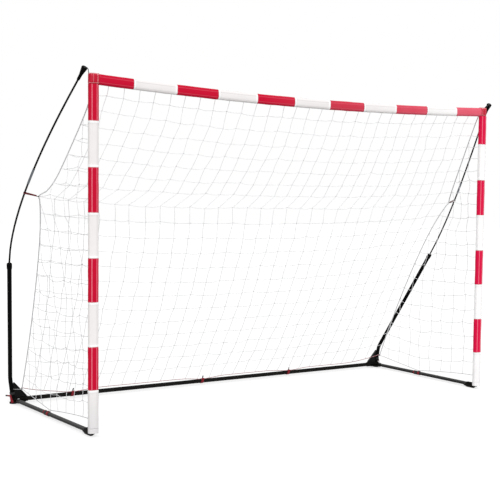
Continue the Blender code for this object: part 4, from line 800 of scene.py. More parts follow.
def add_knots(piece, points, dice):
    """Knots of the net, each turned at random."""
    size = sizes().knot_diameter / 2
    shape = Vector([size * share for share in KNOT_SHAPE])
    for point in points:
        angle = dice.uniform(0, math.pi)
        axis = Vector((dice.gauss(0, 1), dice.gauss(0, 1), dice.gauss(0, 1) + KNOT_AXIS_LIFT))
        piece.knot(point, shape, Matrix.Rotation(angle, 3, axis.normalized()))


def make_back_net():
    """Back net: knots, level strands and hanging strands, laced to the crossbar at the top."""
    sag, wave = sizes().strand_sag, sizes().strand_wave
    rows = net_knots()
    dice = random.Random(BACK_STRAND_SEED)
    piece = Piece()
    for row, (knots, lower) in enumerate(zip(rows, rows[1:])):
        level = zip(knots, knots[1:]) if row else ()
        hanging = list(zip(knots, lower))[1:-1]
        add_strands(piece, [strand(a, b, sag, dice, wave) for a, b in level])
        add_strands(piece, [strand(a, b, 0.0, dice, wave) for a, b in hanging])
        add_knots(piece, knots[1:-1] if row else (), dice)
    line = []
    for point in spread([at(-POST_X, 0, 0), at(POST_X, 0, 0)], HEAD_CORD_STEPS):
        bar = crossbar_point(point.x)
        line.append(Vector((point.x, bar.y + CLOTH_THICKNESS / 2 + HEAD_CORD_CLEAR, bar.z)))
    piece.tube(line, HEAD_CORD_RADIUS, CORD_SIDES)
    piece.make("back_net_mesh", ("net_twine", "net_knot"), "base_frame",
               ("back_net_upper", "back_net_lower"), "net_twine")


def side_knot(row_height, depth_share, low_share):
    """A knot of the right side net between the post and the border cord."""
    seam = cord_point(row_height)
    post = post_point(1, min(row_height, CORNER_AXIS_Z - SIDE_TOP_DROP))
    front = post.y + CLOTH_THICKNESS / 2 + SIDE_LACE_CLEAR
    back = seam.y - CORD_CLEAR
    y = front + (back - front) * depth_share
    x = post.x + (seam.x - post.x) * depth_share
    z = row_height + (side_hem_z(y + MID_DEPTH) - CORNER_Z) * low_share
    return Vector((x, y, z))


def side_net_knots():
    """Knots of the right side net, row by row. Each row runs from the post to its cord."""
    pitch = sizes().side_pitch
    heights = edge_heights()[1:]
    dice = random.Random(SIDE_KNOT_SEED)
    tie_row = hang_rows()[0] - 1
    rows = []
    for row, height in enumerate(heights):
        low_share = max((TIE_Z - height) / (TIE_Z - CORNER_Z), 0.0) ** 2
        end = cord_point(height).y - CORD_CLEAR
        start = post_point(1, height).y + CLOTH_THICKNESS / 2 + SIDE_LACE_CLEAR
        knots = []
        for column in range(int((end - start) / pitch + (1 - SIDE_LAST_MESH))):
            share = column * pitch / (end - start)
            point = side_knot(height, share, low_share)
            if column and row < len(heights) - 1:
                point += stray(dice, sizes().side_unevenness)
                point.z -= SIDE_ROW_SAG * math.sin(math.pi * share) * (row > tie_row)
            knots.append(point)
        knots.append(side_knot(height, 1.0, low_share))
        rows.append(knots)
    return rows


def cord_at_depth(y):
    """Point of the right border cord at a distance back."""
    top, _, low = cord_anchors()
    high_z, low_z = top.z, low.z
    for _ in range(HALVINGS):
        middle = (high_z + low_z) / 2
        if cord_point(middle).y - CORD_CLEAR < y:
            high_z = middle
        else:
            low_z = middle
    return cord_point((high_z + low_z) / 2) - BACK * CORD_CLEAR


def make_side_net(name, side):
    """Side net, cut along the border cord: strands that leave a row early end on the cord."""
    sag, wave = sizes().strand_sag * SIDE_SLACK, sizes().strand_wave * SIDE_WAVE
    rows = side_net_knots()
    dice = random.Random(SIDE_STRAND_SEED + side)
    lines, knots = [], []
    for row, points in enumerate(rows):
        inner = points[:-1]
        if row < len(rows) - 1:
            lines += [strand(a, b, sag, dice, wave) for a, b in zip(points, points[1:])]
            knots += inner[1:]
        above = rows[row - 1][:-1] if row else []
        for column, point in enumerate(inner):
            start = above[column] if column < len(above) else cord_at_depth(point.y)
            lines.append(strand(start, point, 0.0, dice, wave))
    piece = Piece()
    add_strands(piece, [mirrored(line, side) for line in lines])
    add_knots(piece, mirrored(knots, side), dice)
    piece.make(f"{name}_side_mesh", ("net_twine", "net_knot"), "base_frame", (f"{name}_side_net",),
               "net_twine")


# Cords and hems


def make_border_cord(name, side):
    """Braided cord at the net's rear corner, from the crossbar past the tie to the upright."""
    top, tie, low = cord_anchors()
    heights = {*evenly(top.z, low.z, ROPE_STEPS), tie.z - TIE_STRAIGHT, tie.z, tie.z + TIE_STRAIGHT}
    line = [top - BACK * ((SLEEVE_THICKNESS - CLOTH_THICKNESS) / 2)]
    line += [cord_point(z) for z in sorted(heights, reverse=True)]
    link_z = CORNER_Z - LINK_DROP
    upright = at(stub_x(link_z), BASE_DEPTH, link_z)
    toward = upright - low
    toward.z = 0
    link_end = upright - toward.normalized() * (UPRIGHT_RADIUS + 2 * GAP)
    link = [low.lerp(link_end, share) for share in evenly(0, 1, LINK_STEPS)]
    knot = mirrored([low + UP * LINK_KNOT_RISE], side)[0]
    piece = Piece()
    piece.tube(mirrored(line, side), ROPE_RADIUS, ROPE_SIDES)
    piece.tube(mirrored(link, side), LINK_RADIUS, CORD_SIDES)
    piece.knot(knot, LINK_KNOT, Matrix.Rotation(LINK_KNOT_TURN, 3, "Y"))
    piece.make(f"{name}_border_rope", ("border_rope", "webbing_black"), "base_frame",
               (f"{name}_border_cord",), "hem_cord")


def make_side_hem(name, side):
    """Hem line of the side net, held down by the rail strap."""
    low = cord_anchors()[2]
    start = post_point(1, SIDE_HEM_POST_Z) + BACK * (CLOTH_THICKNESS / 2 + GAP)
    first, last = SLEEVE_THICKNESS / 2 + SIDE_HEM_INSET[0], CORNER_DEPTH - SIDE_HEM_INSET[1]
    line = [at(POST_X - CORNER_INSET * depth / CORNER_DEPTH, depth, side_hem_z(depth))
            for depth in evenly(first, last, SIDE_HEM_STEPS)]
    end = at(low.x, CORNER_DEPTH - CORD_RADIUS - 2 * GAP, CORNER_Z)
    piece = Piece()
    piece.tube(mirrored([start, *line, end], side), HEM_RADIUS, CORD_SIDES)
    piece.make(f"{name}_hem_line", ("border_rope",), "base_frame", (f"{name}_side_hem",), "hem_cord")


def make_back_hem():
    """Hem line of the back net, with red tracer threads."""
    reach = cord_anchors()[2].x - CORD_RADIUS - 2 * GAP
    piece = Piece()
    piece.tube([back_hem_point(reach * share) for share in evenly(-1, 1, BACK_HEM_STEPS)],
               HEM_RADIUS, CORD_SIDES)
    piece.make("back_hem_line", ("hem_line",), "base_frame", ("back_hem",), "hem_cord")


# Straps and ties


def loop_path(point_a, radius_a, point_b, radius_b, normal):
    """Closed line round two round pieces, with the directions out of it."""
    normal = normal.normalized()
    along = point_b - point_a
    along -= normal * along.dot(normal)
    x_axis = along.normalized()
    y_axis = normal.cross(x_axis)
    start = math.pi / 2 - math.asin((radius_a - radius_b) / along.length)
    line, normals = [], []
    for centre, radius, first, last in ((point_a + along, radius_b, -start, start),
                                        (point_a, radius_a, start, 2 * math.pi - start)):
        outs = directions(x_axis, y_axis, evenly(first, last, LOOP_STEPS))
        line += [centre + out * radius for out in outs]
        normals += outs
    return line, normals


def make_webbing(piece, name, body, stands_for, red="webbing_red"):
    """A strap or tie of red webbing with black ends."""
    piece.make(name, (red, "webbing_black"), body, (stands_for,), "webbing_red", SHARP)


def make_back_strap(name, x):
    """Webbing strap that holds the back hem down to the bar, with a black tab and tail."""
    bar = at(x, BASE_DEPTH, BAR_HEIGHT)
    hem = back_hem_point(x)
    lift = GAP + STRAP_THICKNESS / 2
    line, normals = loop_path(bar, BAR_RADIUS + lift, hem, HEM_RADIUS + lift, ACROSS)
    piece = Piece()
    piece.webbing(line, normals, STRAP_WIDTH, STRAP_THICKNESS, looped=True)
    rear = bar.y + BAR_RADIUS + GAP + STRAP_THICKNESS + LABEL_THICKNESS / 2
    tab = [Vector((x, rear, bar.z + LABEL_HEIGHT * share)) for share in evenly(-0.5, 0.5, LABEL_STEPS)]
    piece.webbing(tab, [BACK] * len(tab), LABEL_WIDTH, LABEL_THICKNESS, 1)
    top = hem + Vector((0, HEM_RADIUS + STRAP_THICKNESS, HEM_RADIUS))
    bow, turn = BACK_TAIL_BOW
    tail = [top + Vector((BACK_TAIL_LEAN * share, bow * math.sin(share * turn),
                          sizes().strap_tail * share))
            for share in evenly(0, 1, BACK_TAIL_STEPS)]
    piece.webbing(tail, [BACK] * len(tail), BACK_TAIL_WIDTH, STRAP_THICKNESS * THIN, 1)
    make_webbing(piece, f"back_strap_{name}_webbing", "base_frame", f"back_strap_{name}")


def make_rail_strap(name, side):
    """Webbing ring round the rail under the side hem, with its wraps and its black end."""
    centre = at(side * POST_X, RAIL_STRAP_DEPTH, RAIL_HEIGHT)
    radius = RAIL_RADIUS + GAP + STRAP_THICKNESS / 2
    normals = directions(ACROSS, UP, evenly(0, 2 * math.pi, RAIL_STRAP_STEPS)[:-1])
    piece = Piece()
    piece.webbing([centre + n * radius for n in normals], normals, STRAP_WIDTH, STRAP_THICKNESS,
                  looped=True)
    for back, width, number in RAIL_WRAPS:
        middle = centre + BACK * back
        piece.webbing([middle + n * (radius - RAIL_WRAP_SINK) for n in normals], normals, width,
                      STRAP_THICKNESS, number, looped=True)
    outs = directions(ACROSS * side, UP, evenly(*RAIL_END, RAIL_END_STEPS))
    line = [centre + out * (radius + STRAP_THICKNESS + RAIL_END_LIFT * share ** 2)
            for out, share in zip(outs, evenly(0, 1, RAIL_END_STEPS))]
    piece.webbing(line, outs, STRAP_WIDTH * NARROW, STRAP_THICKNESS * THIN, 1)
    make_webbing(piece, f"{name}_rail_webbing", f"{name}_rail", f"{name}_rail_strap")


def make_corner_strap(name, side):
    """Webbing half-loop round the upright, with a stiff tail and an end hanging round the hub."""
    centre = at(side * stub_x(CORNER_STRAP_Z), BASE_DEPTH, CORNER_STRAP_Z)
    axis = Vector((side * STUB_SLOPE, 0, 1)).normalized()
    x_axis = ACROSS * side
    x_axis = (x_axis - axis * x_axis.dot(axis)).normalized()
    radius = UPRIGHT_RADIUS + 2 * GAP + STRAP_THICKNESS / 2
    angles = [CORNER_STRAP_TURN * share for share in evenly(-1, 1, CORNER_STRAP_STEPS)]
    outs = directions(x_axis, axis.cross(x_axis), angles)
    piece = Piece()
    piece.webbing([centre + out * radius for out in outs], outs, STRAP_WIDTH * NARROW,
                  STRAP_THICKNESS, 1)
    way = x_axis if side < 0 else BACK
    tail = [centre + way * (radius + TAIL_LENGTH * share) - axis * (TAIL_LOW - TAIL_RISE * share)
            for share in evenly(0, 1, TAIL_STEPS)]
    for stretch, number in ((tail[:TAIL_RED_STEPS + 1], 0), (tail[TAIL_RED_STEPS:], 1)):
        piece.webbing(stretch, [way.cross(axis)] * len(stretch), TAIL_WIDTH, STRAP_THICKNESS, number)
    hub = at(side * UPRIGHT_X, BASE_DEPTH, 0)
    outs = directions(ACROSS * side, -BACK, evenly(*HANG_TURN, HANG_STEPS))
    hang = []
    for out, share in zip(outs, evenly(0, 1, HANG_STEPS)):
        reach = HANG_OUT[0] + (HANG_OUT[1] - HANG_OUT[0]) * min(2 * share, 1.0)
        hang.append(hub + out * reach + UP * (HANG_HIGH + (HANG_LOW - HANG_HIGH) * share))
    piece.webbing(hang, outs, HANG_WIDTH, STRAP_THICKNESS)
    make_webbing(piece, f"{name}_corner_webbing", "base_frame", f"{name}_corner_strap")


def make_pole_tie(name, side):
    """Woven tie that holds the border cord out to the pole, with its knots."""
    pole, tie, through = mirrored([TIE_POLE, cord_anchors()[1], TIE_THROUGH], side)
    lift = GAP + TIE_STRAP_THICKNESS / 2
    reach = tie - pole
    ring = pole + reach * TIE_STRAP_SHARE
    line, normals = loop_path(pole, POLE_RADIUS + GAP + lift, ring, TIE_RING_RADIUS + lift, through)
    piece = Piece()
    piece.webbing(line, normals, TIE_STRAP_WIDTH, TIE_STRAP_THICKNESS, looped=True)
    end = tie - reach.normalized() * (CORD_RADIUS + TIE_CORD_CLEAR)
    cord = [ring.lerp(end, share) - UP * (TIE_CORD_SAG * math.sin(math.pi * share))
            for share in evenly(0, 1, TIE_CORD_STEPS)]
    piece.tube(cord, TIE_CORD_RADIUS, CORD_SIDES, 1)
    turn = Matrix.Rotation(TIE_KNOT_TURN, 3, through)
    for step, size in TIE_KNOTS:
        piece.knot(cord[step], Vector([size * share for share in TIE_KNOT_SHAPE]), turn)
    make_webbing(piece, f"{name}_tie_webbing", "base_frame", f"{name}_pole_tie", "tie_webbing")


# Finishes


class Wire:
    """One output socket. Python's operators on it add Math nodes to the same tree."""

    def __init__(self, nodes, socket):
        self.nodes, self.socket = nodes, socket

    def sibling(self, output):
        """Another output of the same node."""
        return Wire(self.nodes, self.socket.node.outputs[output])

    def math(self, operation, *others):
        """A Math node on this socket and others."""
        return self.nodes.math(operation, self, *others)

    def __add__(self, other):
        return self.math("ADD", other)

    def __sub__(self, other):
        return self.math("SUBTRACT", other)

    def __rsub__(self, other):
        return self.nodes.math("SUBTRACT", other, self)

    def __mul__(self, other):
        return self.math("MULTIPLY", other)

    def __abs__(self):
        return self.math("ABSOLUTE")

    __radd__ = __add__
    __rmul__ = __mul__


class Nodes:
    """The nodes of one tree: a material's, or the world's."""

    def __init__(self, tree):
        self.tree = tree

    def node(self, kind, settings=None, sockets=None, output=0):
        """Add a node: its settings first, then the values or links of its sockets."""
        node = self.tree.nodes.new(kind)
        for name, value in (settings or {}).items():
            setattr(node, name, value)
        for name, value in (sockets or {}).items():
            if isinstance(value, Wire):
                self.tree.links.new(value.socket, node.inputs[name])
            else:
                node.inputs[name].default_value = value
        return Wire(self, node.outputs[output])

    def math(self, operation, *values):
        """A Math node on sockets and numbers."""
        return self.node("ShaderNodeMath", {"operation": operation}, dict(enumerate(values)))

    def seen_directly(self):
        """One for rays that see the background itself, in the picture or in a gloss or glass."""
        camera = self.node("ShaderNodeLightPath", output="Is Camera Ray")
        rays = camera + camera.sibling("Is Glossy Ray") + camera.sibling("Is Transmission Ray")
        return rays.math("MINIMUM", 1.0)


class Finish(Nodes):
    """A procedural material round one Principled shader. Lengths in it are metres."""

    def __init__(self, name, color, roughness, specular=0.5, metallic=0.0):
        self.material = bpy.data.materials.new(name)
        self.material.use_nodes = True
        super().__init__(self.material.node_tree)
        self.color = (*color, 1.0)
        self.material.diffuse_color = self.color
        self.shader = self.tree.nodes["Principled BSDF"]
        for socket, value in (("Base Color", self.color), ("Roughness", roughness),
                              ("Metallic", metallic), ("Specular IOR Level", specular)):
            self.shader.inputs[socket].default_value = value

    def feed(self, **wires):
        """Link sockets to the shader, and give the finished material."""
        for name, wire in wires.items():
            self.tree.links.new(wire.socket, self.shader.inputs[name.replace("_", " ")])
        return self.material

    def coats(self, *coats):
        """The finish's colour, with others laid over it in turn, each as far as its mask says."""
        base = self.color
        for mask, color in coats:
            base = self.node("ShaderNodeMix", {"data_type": "RGBA"},
                             {0: mask, 6: base, 7: (*color, 1.0)}, 2)
        return base

    def place(self):
        """Position on the object."""
        return self.node("ShaderNodeTexCoord", output=3)

    def stretched(self, scales):
        """Position on the object with each axis scaled, for grain that runs one way."""
        return self.node("ShaderNodeVectorMath", {"operation": "MULTIPLY"},
                         {0: self.place(), 1: scales})

    def split(self, vector, axis):
        """One part of a vector: 0 is x, 1 is y and 2 is z."""
        return self.node("ShaderNodeSeparateXYZ", None, {0: vector}, axis)

    def cut(self):
        """The two UVs of the piece: across and along it."""
        across = self.split(self.node("ShaderNodeUVMap", {"uv_map": "cut"}), 0)
        return across, across.sibling(1)

    def noise(self, scale, detail=2.0, roughness=0.5, where=None):
        """Noise from 0 to 1."""
        return self.node("ShaderNodeTexNoise", None, {"Vector": where or self.place(), "Scale": scale,
                                                      "Detail": detail, "Roughness": roughness})

    def ramp(self, value, start, end, top=1.0, kind="SMOOTHSTEP"):
        """Zero where a value is at the start of a range, rising to the top at the range's end."""
        return self.node("ShaderNodeMapRange", {"interpolation_type": kind},
                         {0: value, 1: start, 2: end, 3: 0.0, 4: top})

    def line(self, value, centre, half_width):
        """One on a thin line where a value is near its centre, and zero beside it."""
        return self.ramp(abs(value - centre), half_width, half_width * LINE_CORE)

    def under(self, value, limit, softness):
        """One where a value is under a limit, and zero above it."""
        return self.ramp(value, limit + softness, limit)

    def stitches(self, way, limit, softness):
        """One on the stitches of a row that runs this way, and zero between them."""
        return self.under(abs((way * STITCHES).math("SINE")), limit, softness)

    def near_ground(self, height, softness):
        """One up to a height above the ground, and zero higher up."""
        return self.under(self.split(self.place(), 2), height, softness)

    def to_the_right(self, start, end, top):
        """Zero up to a distance to the right of the goal's middle, rising to the top at another."""
        return self.ramp(self.split(self.place(), 0), start, end, top, "LINEAR")

    def bump(self, height, distance, strength=1.0, normal=None):
        """A bump from a height between 0 and 1, on top of another if one is given."""
        sockets = {"Strength": strength, "Distance": distance, "Height": height}
        if normal is not None:
            sockets["Normal"] = normal
        return self.node("ShaderNodeBump", None, sockets)


# Colours of shade, painted light, dust, grime, seams, stitches and threads, laid over a finish's own
DUST = (0.10, 0.092, 0.085)
# Painted highlight on upward faces, standing in for the light on the tops of the rails
PAINTED_TOP_SHEEN = (0.10, 0.10, 0.10)
WHITE_SHADE = (0.80, 0.765, 0.765)
# Painted light: the white bands are lighter on the goal's right side
WHITE_LIT_RIGHT = (0.99, 0.975, 0.975)
WHITE_RIGHT_LINE = (0.60, 0.56, 0.57)
WHITE_LEFT_LINE = (0.66, 0.62, 0.63)
WHITE_GRIME = (0.66, 0.65, 0.66)
WHITE_HEM = (0.95, 0.95, 0.95)
WHITE_STITCH = (0.74, 0.73, 0.73)
WHITE_SEAM = (0.55, 0.50, 0.51)
RED_SHADE = (0.80, 0.70, 0.80)           # share of each of its own colours left in the shade
# Painted light: the red bands are brighter on the goal's right side
RED_LIT_RIGHT = (0.73, 0.006, 0.062)
# Painted highlight along the red bands' raised ridges
RED_RIDGE_HIGHLIGHT = (0.80, 0.24, 0.31)
# Paler red painted on the crossbar's right, standing in for the light there
RED_PAINTED_PALE = (0.85, 0.32, 0.38)
RED_STITCH = (0.80, 0.22, 0.28)
RED_SEAM = (0.30, 0.004, 0.02)
PATCH_SHADE = (0.36, 0.004, 0.022)
PATCH_STITCH = (0.95, 0.60, 0.60)
CORD_SHADE = (0.48, 0.48, 0.50)
TWINE_SHADE = (0.84, 0.84, 0.86)
KNOT_SHADE = (0.50, 0.50, 0.52)
# Grey laid on the net's twine and knots, from about 1.4 m down to the ground
CORD_LOW_GREY = (0.50, 0.50, 0.52)
HEM_SHADE = (0.30, 0.24, 0.25)
HEM_TRACER = (0.34, 0.03, 0.05)
RED_WEBBING_SHADE = (0.12, 0.003, 0.008)
BLACK_WEBBING_SHADE = (0.006, 0.006, 0.006)
WEBBING_DASH = (0.02, 0.015, 0.016)

# Threads and stitches as the turns of a sine, in radians per metre
WEAVE = 5200.0
STITCHES = 785.0
RIBS_ALONG = 3600.0
RIBS_ACROSS = 2400.0
TIE_DASHES = 700.0
TWINE_LAY = (2200.0, 900.0)              # round the cord, and along it
ROPE_LAY = (4 / CORD_RADIUS, 2 * math.pi / 0.008)
HEM_LAY = (2 / HEM_RADIUS, 2 * math.pi / 0.030)

# Lines of the sleeves' cloth: place round the section or from a seam, and half width
LEFT_RIDGE = (-0.017, 0.0028)
RIGHT_RIDGE = (0.0135, 0.0028)
STITCH_ROW = (0.0045, 0.0009)
SEAM_LINE = (0.0006, 0.0012)
PATCH_ROWS = ((-0.019, 0.0022), (0.008, 0.0015))
PATCH_EDGES = ((-0.0255, 0.0020), (0.0255, 0.0020))
LINE_CORE = 0.4              # of a line's half width, at full strength


def crossed(first, second):
    """Two sets of threads that cross, as a height from 0 to 1."""
    return first.math("SINE") * second.math("SINE") * 0.5 + 0.5


def powder_coat(name, color, roughness, specular, top_sheen=0.0):
    """Black powder coat: orange peel, fine scuffs, dust near the ground, and a painted highlight on
    what faces up.
    """
    coat = Finish(name, color, roughness, specular)
    peel = coat.noise(520.0, 2.0)
    cloud = coat.noise(9.0, 4.0, 0.6)
    scuffs = coat.under(coat.noise(60.0, 6.0, 0.75, coat.stretched((1.0, 1.0, 0.4))), 0.33, 0.05)
    dust = coat.near_ground(0.010, 0.050) * coat.noise(30.0, 4.0, 0.7)
    coats = [(scuffs * 0.25, [c * 2.0 + 0.012 for c in color]), (dust * 0.2, DUST)]
    # What faces up is painted lighter: a painted highlight on the rails' and gussets' tops
    if top_sheen:
        upward = coat.split(coat.node("ShaderNodeNewGeometry", output=1), 2)
        painted_sheen = coat.ramp(upward, -0.1, 0.9, top_sheen) * (coat.noise(70.0, 4.0, 0.7) + 0.5)
        coats.append((painted_sheen, PAINTED_TOP_SHEEN))
    return coat.feed(Base_Color=coat.coats(*coats),
                     Roughness=cloud * 0.16 + scuffs * 0.15 + (roughness - 0.08),
                     Normal=coat.bump(peel, 0.00012, 0.6))


def moulded_plastic(name, color):
    """Moulded black plastic with a fine spark texture."""
    plastic = Finish(name, color, 0.55, 0.03)
    grain = plastic.noise(900.0, 1.0)
    patches = plastic.noise(24.0, 3.0)
    dust = plastic.near_ground(0.006, 0.030) * plastic.noise(40.0, 4.0)
    base = plastic.coats((patches * 0.25, (0.006, 0.006, 0.006)), (dust * 0.2, DUST))
    return plastic.feed(Base_Color=base, Roughness=patches * 0.18 + 0.46,
                        Normal=plastic.bump(grain, 0.00010, 0.7))


def fibreglass_rod(name, color):
    """Lacquered rod: glass fibres run along it under the lacquer."""
    rod = Finish(name, color, 0.40, 0.03)
    fibres = rod.noise(300.0, 3.0, 0.6, rod.stretched((1.0, 1.0, 0.04)))
    return rod.feed(Base_Color=rod.coats((fibres * 0.5, (0.005, 0.005, 0.005))),
                    Roughness=fibres * 0.2 + 0.26, Normal=rod.bump(fibres, 0.00006, 0.5))


def dull_metal(name, color, roughness, grain_way):
    """Dull grey metal with drawn lines."""
    metal = Finish(name, color, roughness, metallic=1.0)
    drawn = metal.noise(700.0, 3.0, 0.6, metal.stretched(grain_way))
    stains = metal.noise(45.0, 4.0)
    return metal.feed(Base_Color=metal.coats((stains * 0.5, [c * 0.72 for c in color])),
                      Roughness=drawn * 0.18 + stains * 0.12 + (roughness - 0.1),
                      Normal=metal.bump(drawn, 0.00005, 0.5))


class SleeveCloth(Finish):
    """PVC-coated cloth of the sleeves: the masks of its seams, its ridges and its painted light on the
    right, and its relief.
    """

    def __init__(self, name, color):
        super().__init__(name, color, 0.42, 0.08)
        across, self.along = self.cut()
        round_it = across - across.math("ROUND")
        self.weave = crossed(round_it * WEAVE, self.along * WEAVE)
        self.streaks = self.noise(1.0, 3.0, 0.55, self.stretched((160.0, 160.0, 22.0)))
        self.clouds = self.noise(7.0, 3.0)
        self.left_line = self.line(round_it, *LEFT_RIDGE)
        self.right_line = self.line(round_it, *RIGHT_RIDGE)
        self.stitching = self.line(self.along, *STITCH_ROW) * self.stitches(round_it, 0.80, 0.1)
        self.seam = self.under(self.along, *SEAM_LINE)
        # The goal's right side is painted lighter, standing in for the light that falls there
        self.lit_right = self.to_the_right(0.5, 1.5, 1.0)

    def finished(self, *coats):
        """The material, with its marks and painted light in the coats of its colour."""
        ridges = self.left_line + self.right_line
        relief = self.weave * 0.10 + ridges * 0.55 + self.stitching * 0.35 + self.seam * -0.5
        folds = self.bump(self.noise(34.0, 4.0, 0.6), 0.0030, 0.35)
        return self.feed(Base_Color=self.coats(*coats),
                         Roughness=self.clouds * 0.14 + self.streaks * 0.10 + 0.32,
                         Normal=self.bump(relief, 0.0006, 0.8, folds))


def white_cloth(name, color):
    """Cloth of the white bands, greyer in its folds and near the ground, with double hems."""
    cloth = SleeveCloth(name, color)
    grime = cloth.near_ground(0.05, 0.24) * (cloth.noise(26.0, 4.0, 0.6) * 0.5 + 0.3)
    return cloth.finished((cloth.clouds * 0.5 + cloth.streaks * 0.15, WHITE_SHADE),
                          # The right side is painted lighter: painted light
                          (cloth.lit_right * 0.9, WHITE_LIT_RIGHT),
                          (cloth.right_line * 0.45, WHITE_RIGHT_LINE),
                          (cloth.left_line * 0.18, WHITE_LEFT_LINE),
                          (grime * (1 - cloth.lit_right * 0.8), WHITE_GRIME),
                          (cloth.under(cloth.along, sizes().hem_strip, 0.0012), WHITE_HEM),
                          (cloth.stitching * 0.4, WHITE_STITCH), (cloth.seam * 0.35, WHITE_SEAM))


def red_cloth(name, color, ridge_highlight=1.0, pale_right=0.0):
    """Cloth of the red bands, with a pale painted highlight on its ridges. It may be painted paler to
    the right, standing in for light.
    """
    cloth = SleeveCloth(name, color)
    # The ridges are painted lighter: a painted highlight along them
    ridges = (cloth.left_line + cloth.right_line) * (cloth.streaks * 0.6 + 0.62) * ridge_highlight
    coats = [(cloth.clouds * 0.45 + cloth.streaks * 0.2, [a * b for a, b in zip(color, RED_SHADE)]),
             # The right side is painted brighter: painted light
             (cloth.lit_right * 0.9, RED_LIT_RIGHT), (ridges, RED_RIDGE_HIGHLIGHT)]
    # The crossbar is painted paler to the right: painted light on that side
    if pale_right:
        pale = cloth.to_the_right(-0.4, 1.45, pale_right) * (cloth.clouds * 0.5 + 0.5)
        coats.append((pale, RED_PAINTED_PALE))
    return cloth.finished(*coats, (cloth.stitching * 0.5, RED_STITCH),
                          (cloth.seam * 0.5, RED_SEAM))


def patch_cloth(name, color):
    """Red cloth of the corner patches, with rows of light stitches and wear."""
    cloth = Finish(name, color, 0.45, 0.20)
    across, along = cloth.cut()
    rows = cloth.line(along, *PATCH_ROWS[0]) + cloth.line(along, *PATCH_ROWS[1]) * 0.6
    edges = cloth.line(across, *PATCH_EDGES[0]) + cloth.line(across, *PATCH_EDGES[1])
    stitching = rows * cloth.stitches(across, 0.78, 0.12) + edges * cloth.stitches(along, 0.78, 0.12)
    stitching = stitching.math("MINIMUM", 1.0)
    clouds = cloth.noise(60.0, 4.0, 0.65)
    folds = cloth.bump(cloth.noise(55.0, 3.0, 0.6), 0.0030, 0.5)
    base = cloth.coats((clouds * 0.75, PATCH_SHADE), (stitching * 0.9, PATCH_STITCH))
    return cloth.feed(Base_Color=base, Roughness=clouds * 0.2 + 0.32,
                      Normal=cloth.bump(stitching, 0.0006, 0.9, folds))


def laid_cord(name, color, shade, lay, low_grey=0.0, tracer=None):
    """Twisted or braided cord: strands wind round it, with a tracer thread where it has one.

    The number after the lay is how grey it gets towards the ground.
    """
    cord = Finish(name, color, 0.85, 0.25)
    across, along = cord.cut()
    wound = across * lay[0] + along * lay[1]
    strands = crossed(wound, across * lay[0] - along * lay[1])
    fuzz = cord.noise(700.0, 2.0)
    coats = [((1 - strands) * 0.55 + fuzz * 0.2, shade)]
    if tracer:
        coats.append((cord.under(wound.math("SINE"), -0.15, 0.25) * 0.85, tracer))
    if low_grey:
        coats.append((cord.near_ground(1.05, 0.35) * low_grey, CORD_LOW_GREY))
    return cord.feed(Base_Color=cord.coats(*coats), Roughness=fuzz * 0.1 + 0.8,
                     Normal=cord.bump(strands * 0.8 + fuzz * 0.2, 0.0005, 0.8))


def woven_webbing(name, color, shade, dashes=0.0):
    """Woven webbing: ribs across it, and dark dashes along it where it has them."""
    webbing = Finish(name, color, 0.75, 0.30)
    across, along = webbing.cut()
    ribs = crossed(along * RIBS_ALONG, across * RIBS_ACROSS)
    fuzz = webbing.noise(400.0, 3.0, 0.6)
    coats = [((1 - ribs) * 0.35 + fuzz * 0.3, shade)]
    if dashes:
        marks = webbing.under((along * dashes).math("SINE"), 0.0, 0.2)
        coats.append((marks * 0.9, WEBBING_DASH))
    return webbing.feed(Base_Color=webbing.coats(*coats), Roughness=fuzz * 0.15 + 0.68,
                        Normal=webbing.bump(ribs * 0.8 + fuzz * 0.2, 0.0004, 0.8))


# Each finish: how it is made, which of the goal's colours it has, and what else its maker takes
FINISHES = {
    "black_steel": (powder_coat, "steel", 0.50, 0.03),
    # The rails' last number is the strength of their painted highlight on upward faces
    "rail_steel": (powder_coat, "rail", 0.45, 0.08, 0.5),
    "black_plastic": (moulded_plastic, "plastic"),
    "fibreglass": (fibreglass_rod, "fibreglass"),
    "ferrule_metal": (dull_metal, "ferrule", 0.42, (1, 1, 0.03)),
    "zinc": (dull_metal, "zinc", 0.34, (1, 0.05, 1)),
    "sleeve_red": (red_cloth, "red"),
    "sleeve_white": (white_cloth, "white"),
    # The crossbar's red: less painted highlight on its ridges, and painted paler to the right
    "bar_red": (red_cloth, "red", 0.20, 0.42),
    "sleeve_patch": (patch_cloth, "red"),
    "net_twine": (laid_cord, "twine", TWINE_SHADE, TWINE_LAY, 0.36),
    "net_knot": (laid_cord, "knot", KNOT_SHADE, TWINE_LAY, 0.36),
    "border_rope": (laid_cord, "rope", CORD_SHADE, ROPE_LAY),
    "hem_line": (laid_cord, "hem", HEM_SHADE, HEM_LAY, 0.0, HEM_TRACER),
    "webbing_red": (woven_webbing, "webbing", RED_WEBBING_SHADE),
    "webbing_black": (woven_webbing, "black_webbing", BLACK_WEBBING_SHADE),
    "tie_webbing": (woven_webbing, "webbing", RED_WEBBING_SHADE, TIE_DASHES),
}

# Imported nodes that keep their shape, one for each side, and the three tubes of the back bar
NODE_FINISHES = {
    "black_steel": ("corner_hub", "upright_tube"),
    "rail_steel": ("gusset", "side_rail", "rail_knuckle"),
    "black_plastic": ("upright_collar", "pole_cap"),
    "fibreglass": ("pole_lower", "pole_upper"),
    "ferrule_metal": ("pole_ferrule",),
    "zinc": ("hinge_bolt", "hinge_nut", "hub_button", "bar_button"),
}
BACK_BARS = ("back_bar_left", "back_bar_centre", "back_bar_right")


def finish(name):
    """The material of a finish, made when it is first asked for."""
    made = bpy.data.materials.get(f"{name}_finish")
    if made is None:
        maker, colour, *others = FINISHES[name]
        made = maker(f"{name}_finish", getattr(bpy.context.scene.goal_colours, colour), *others)
    return made


# Sizes and colours a user would change


def metres(name, description, default, low, high):
    """A length in metres."""
    return FloatProperty(name=name, description=description, default=default, min=low, max=high,
                         unit="LENGTH")


def tint(name, description, default):
    """A colour."""
    return FloatVectorProperty(name=name, description=description, default=default,
                               subtype="COLOR", min=0, max=1)


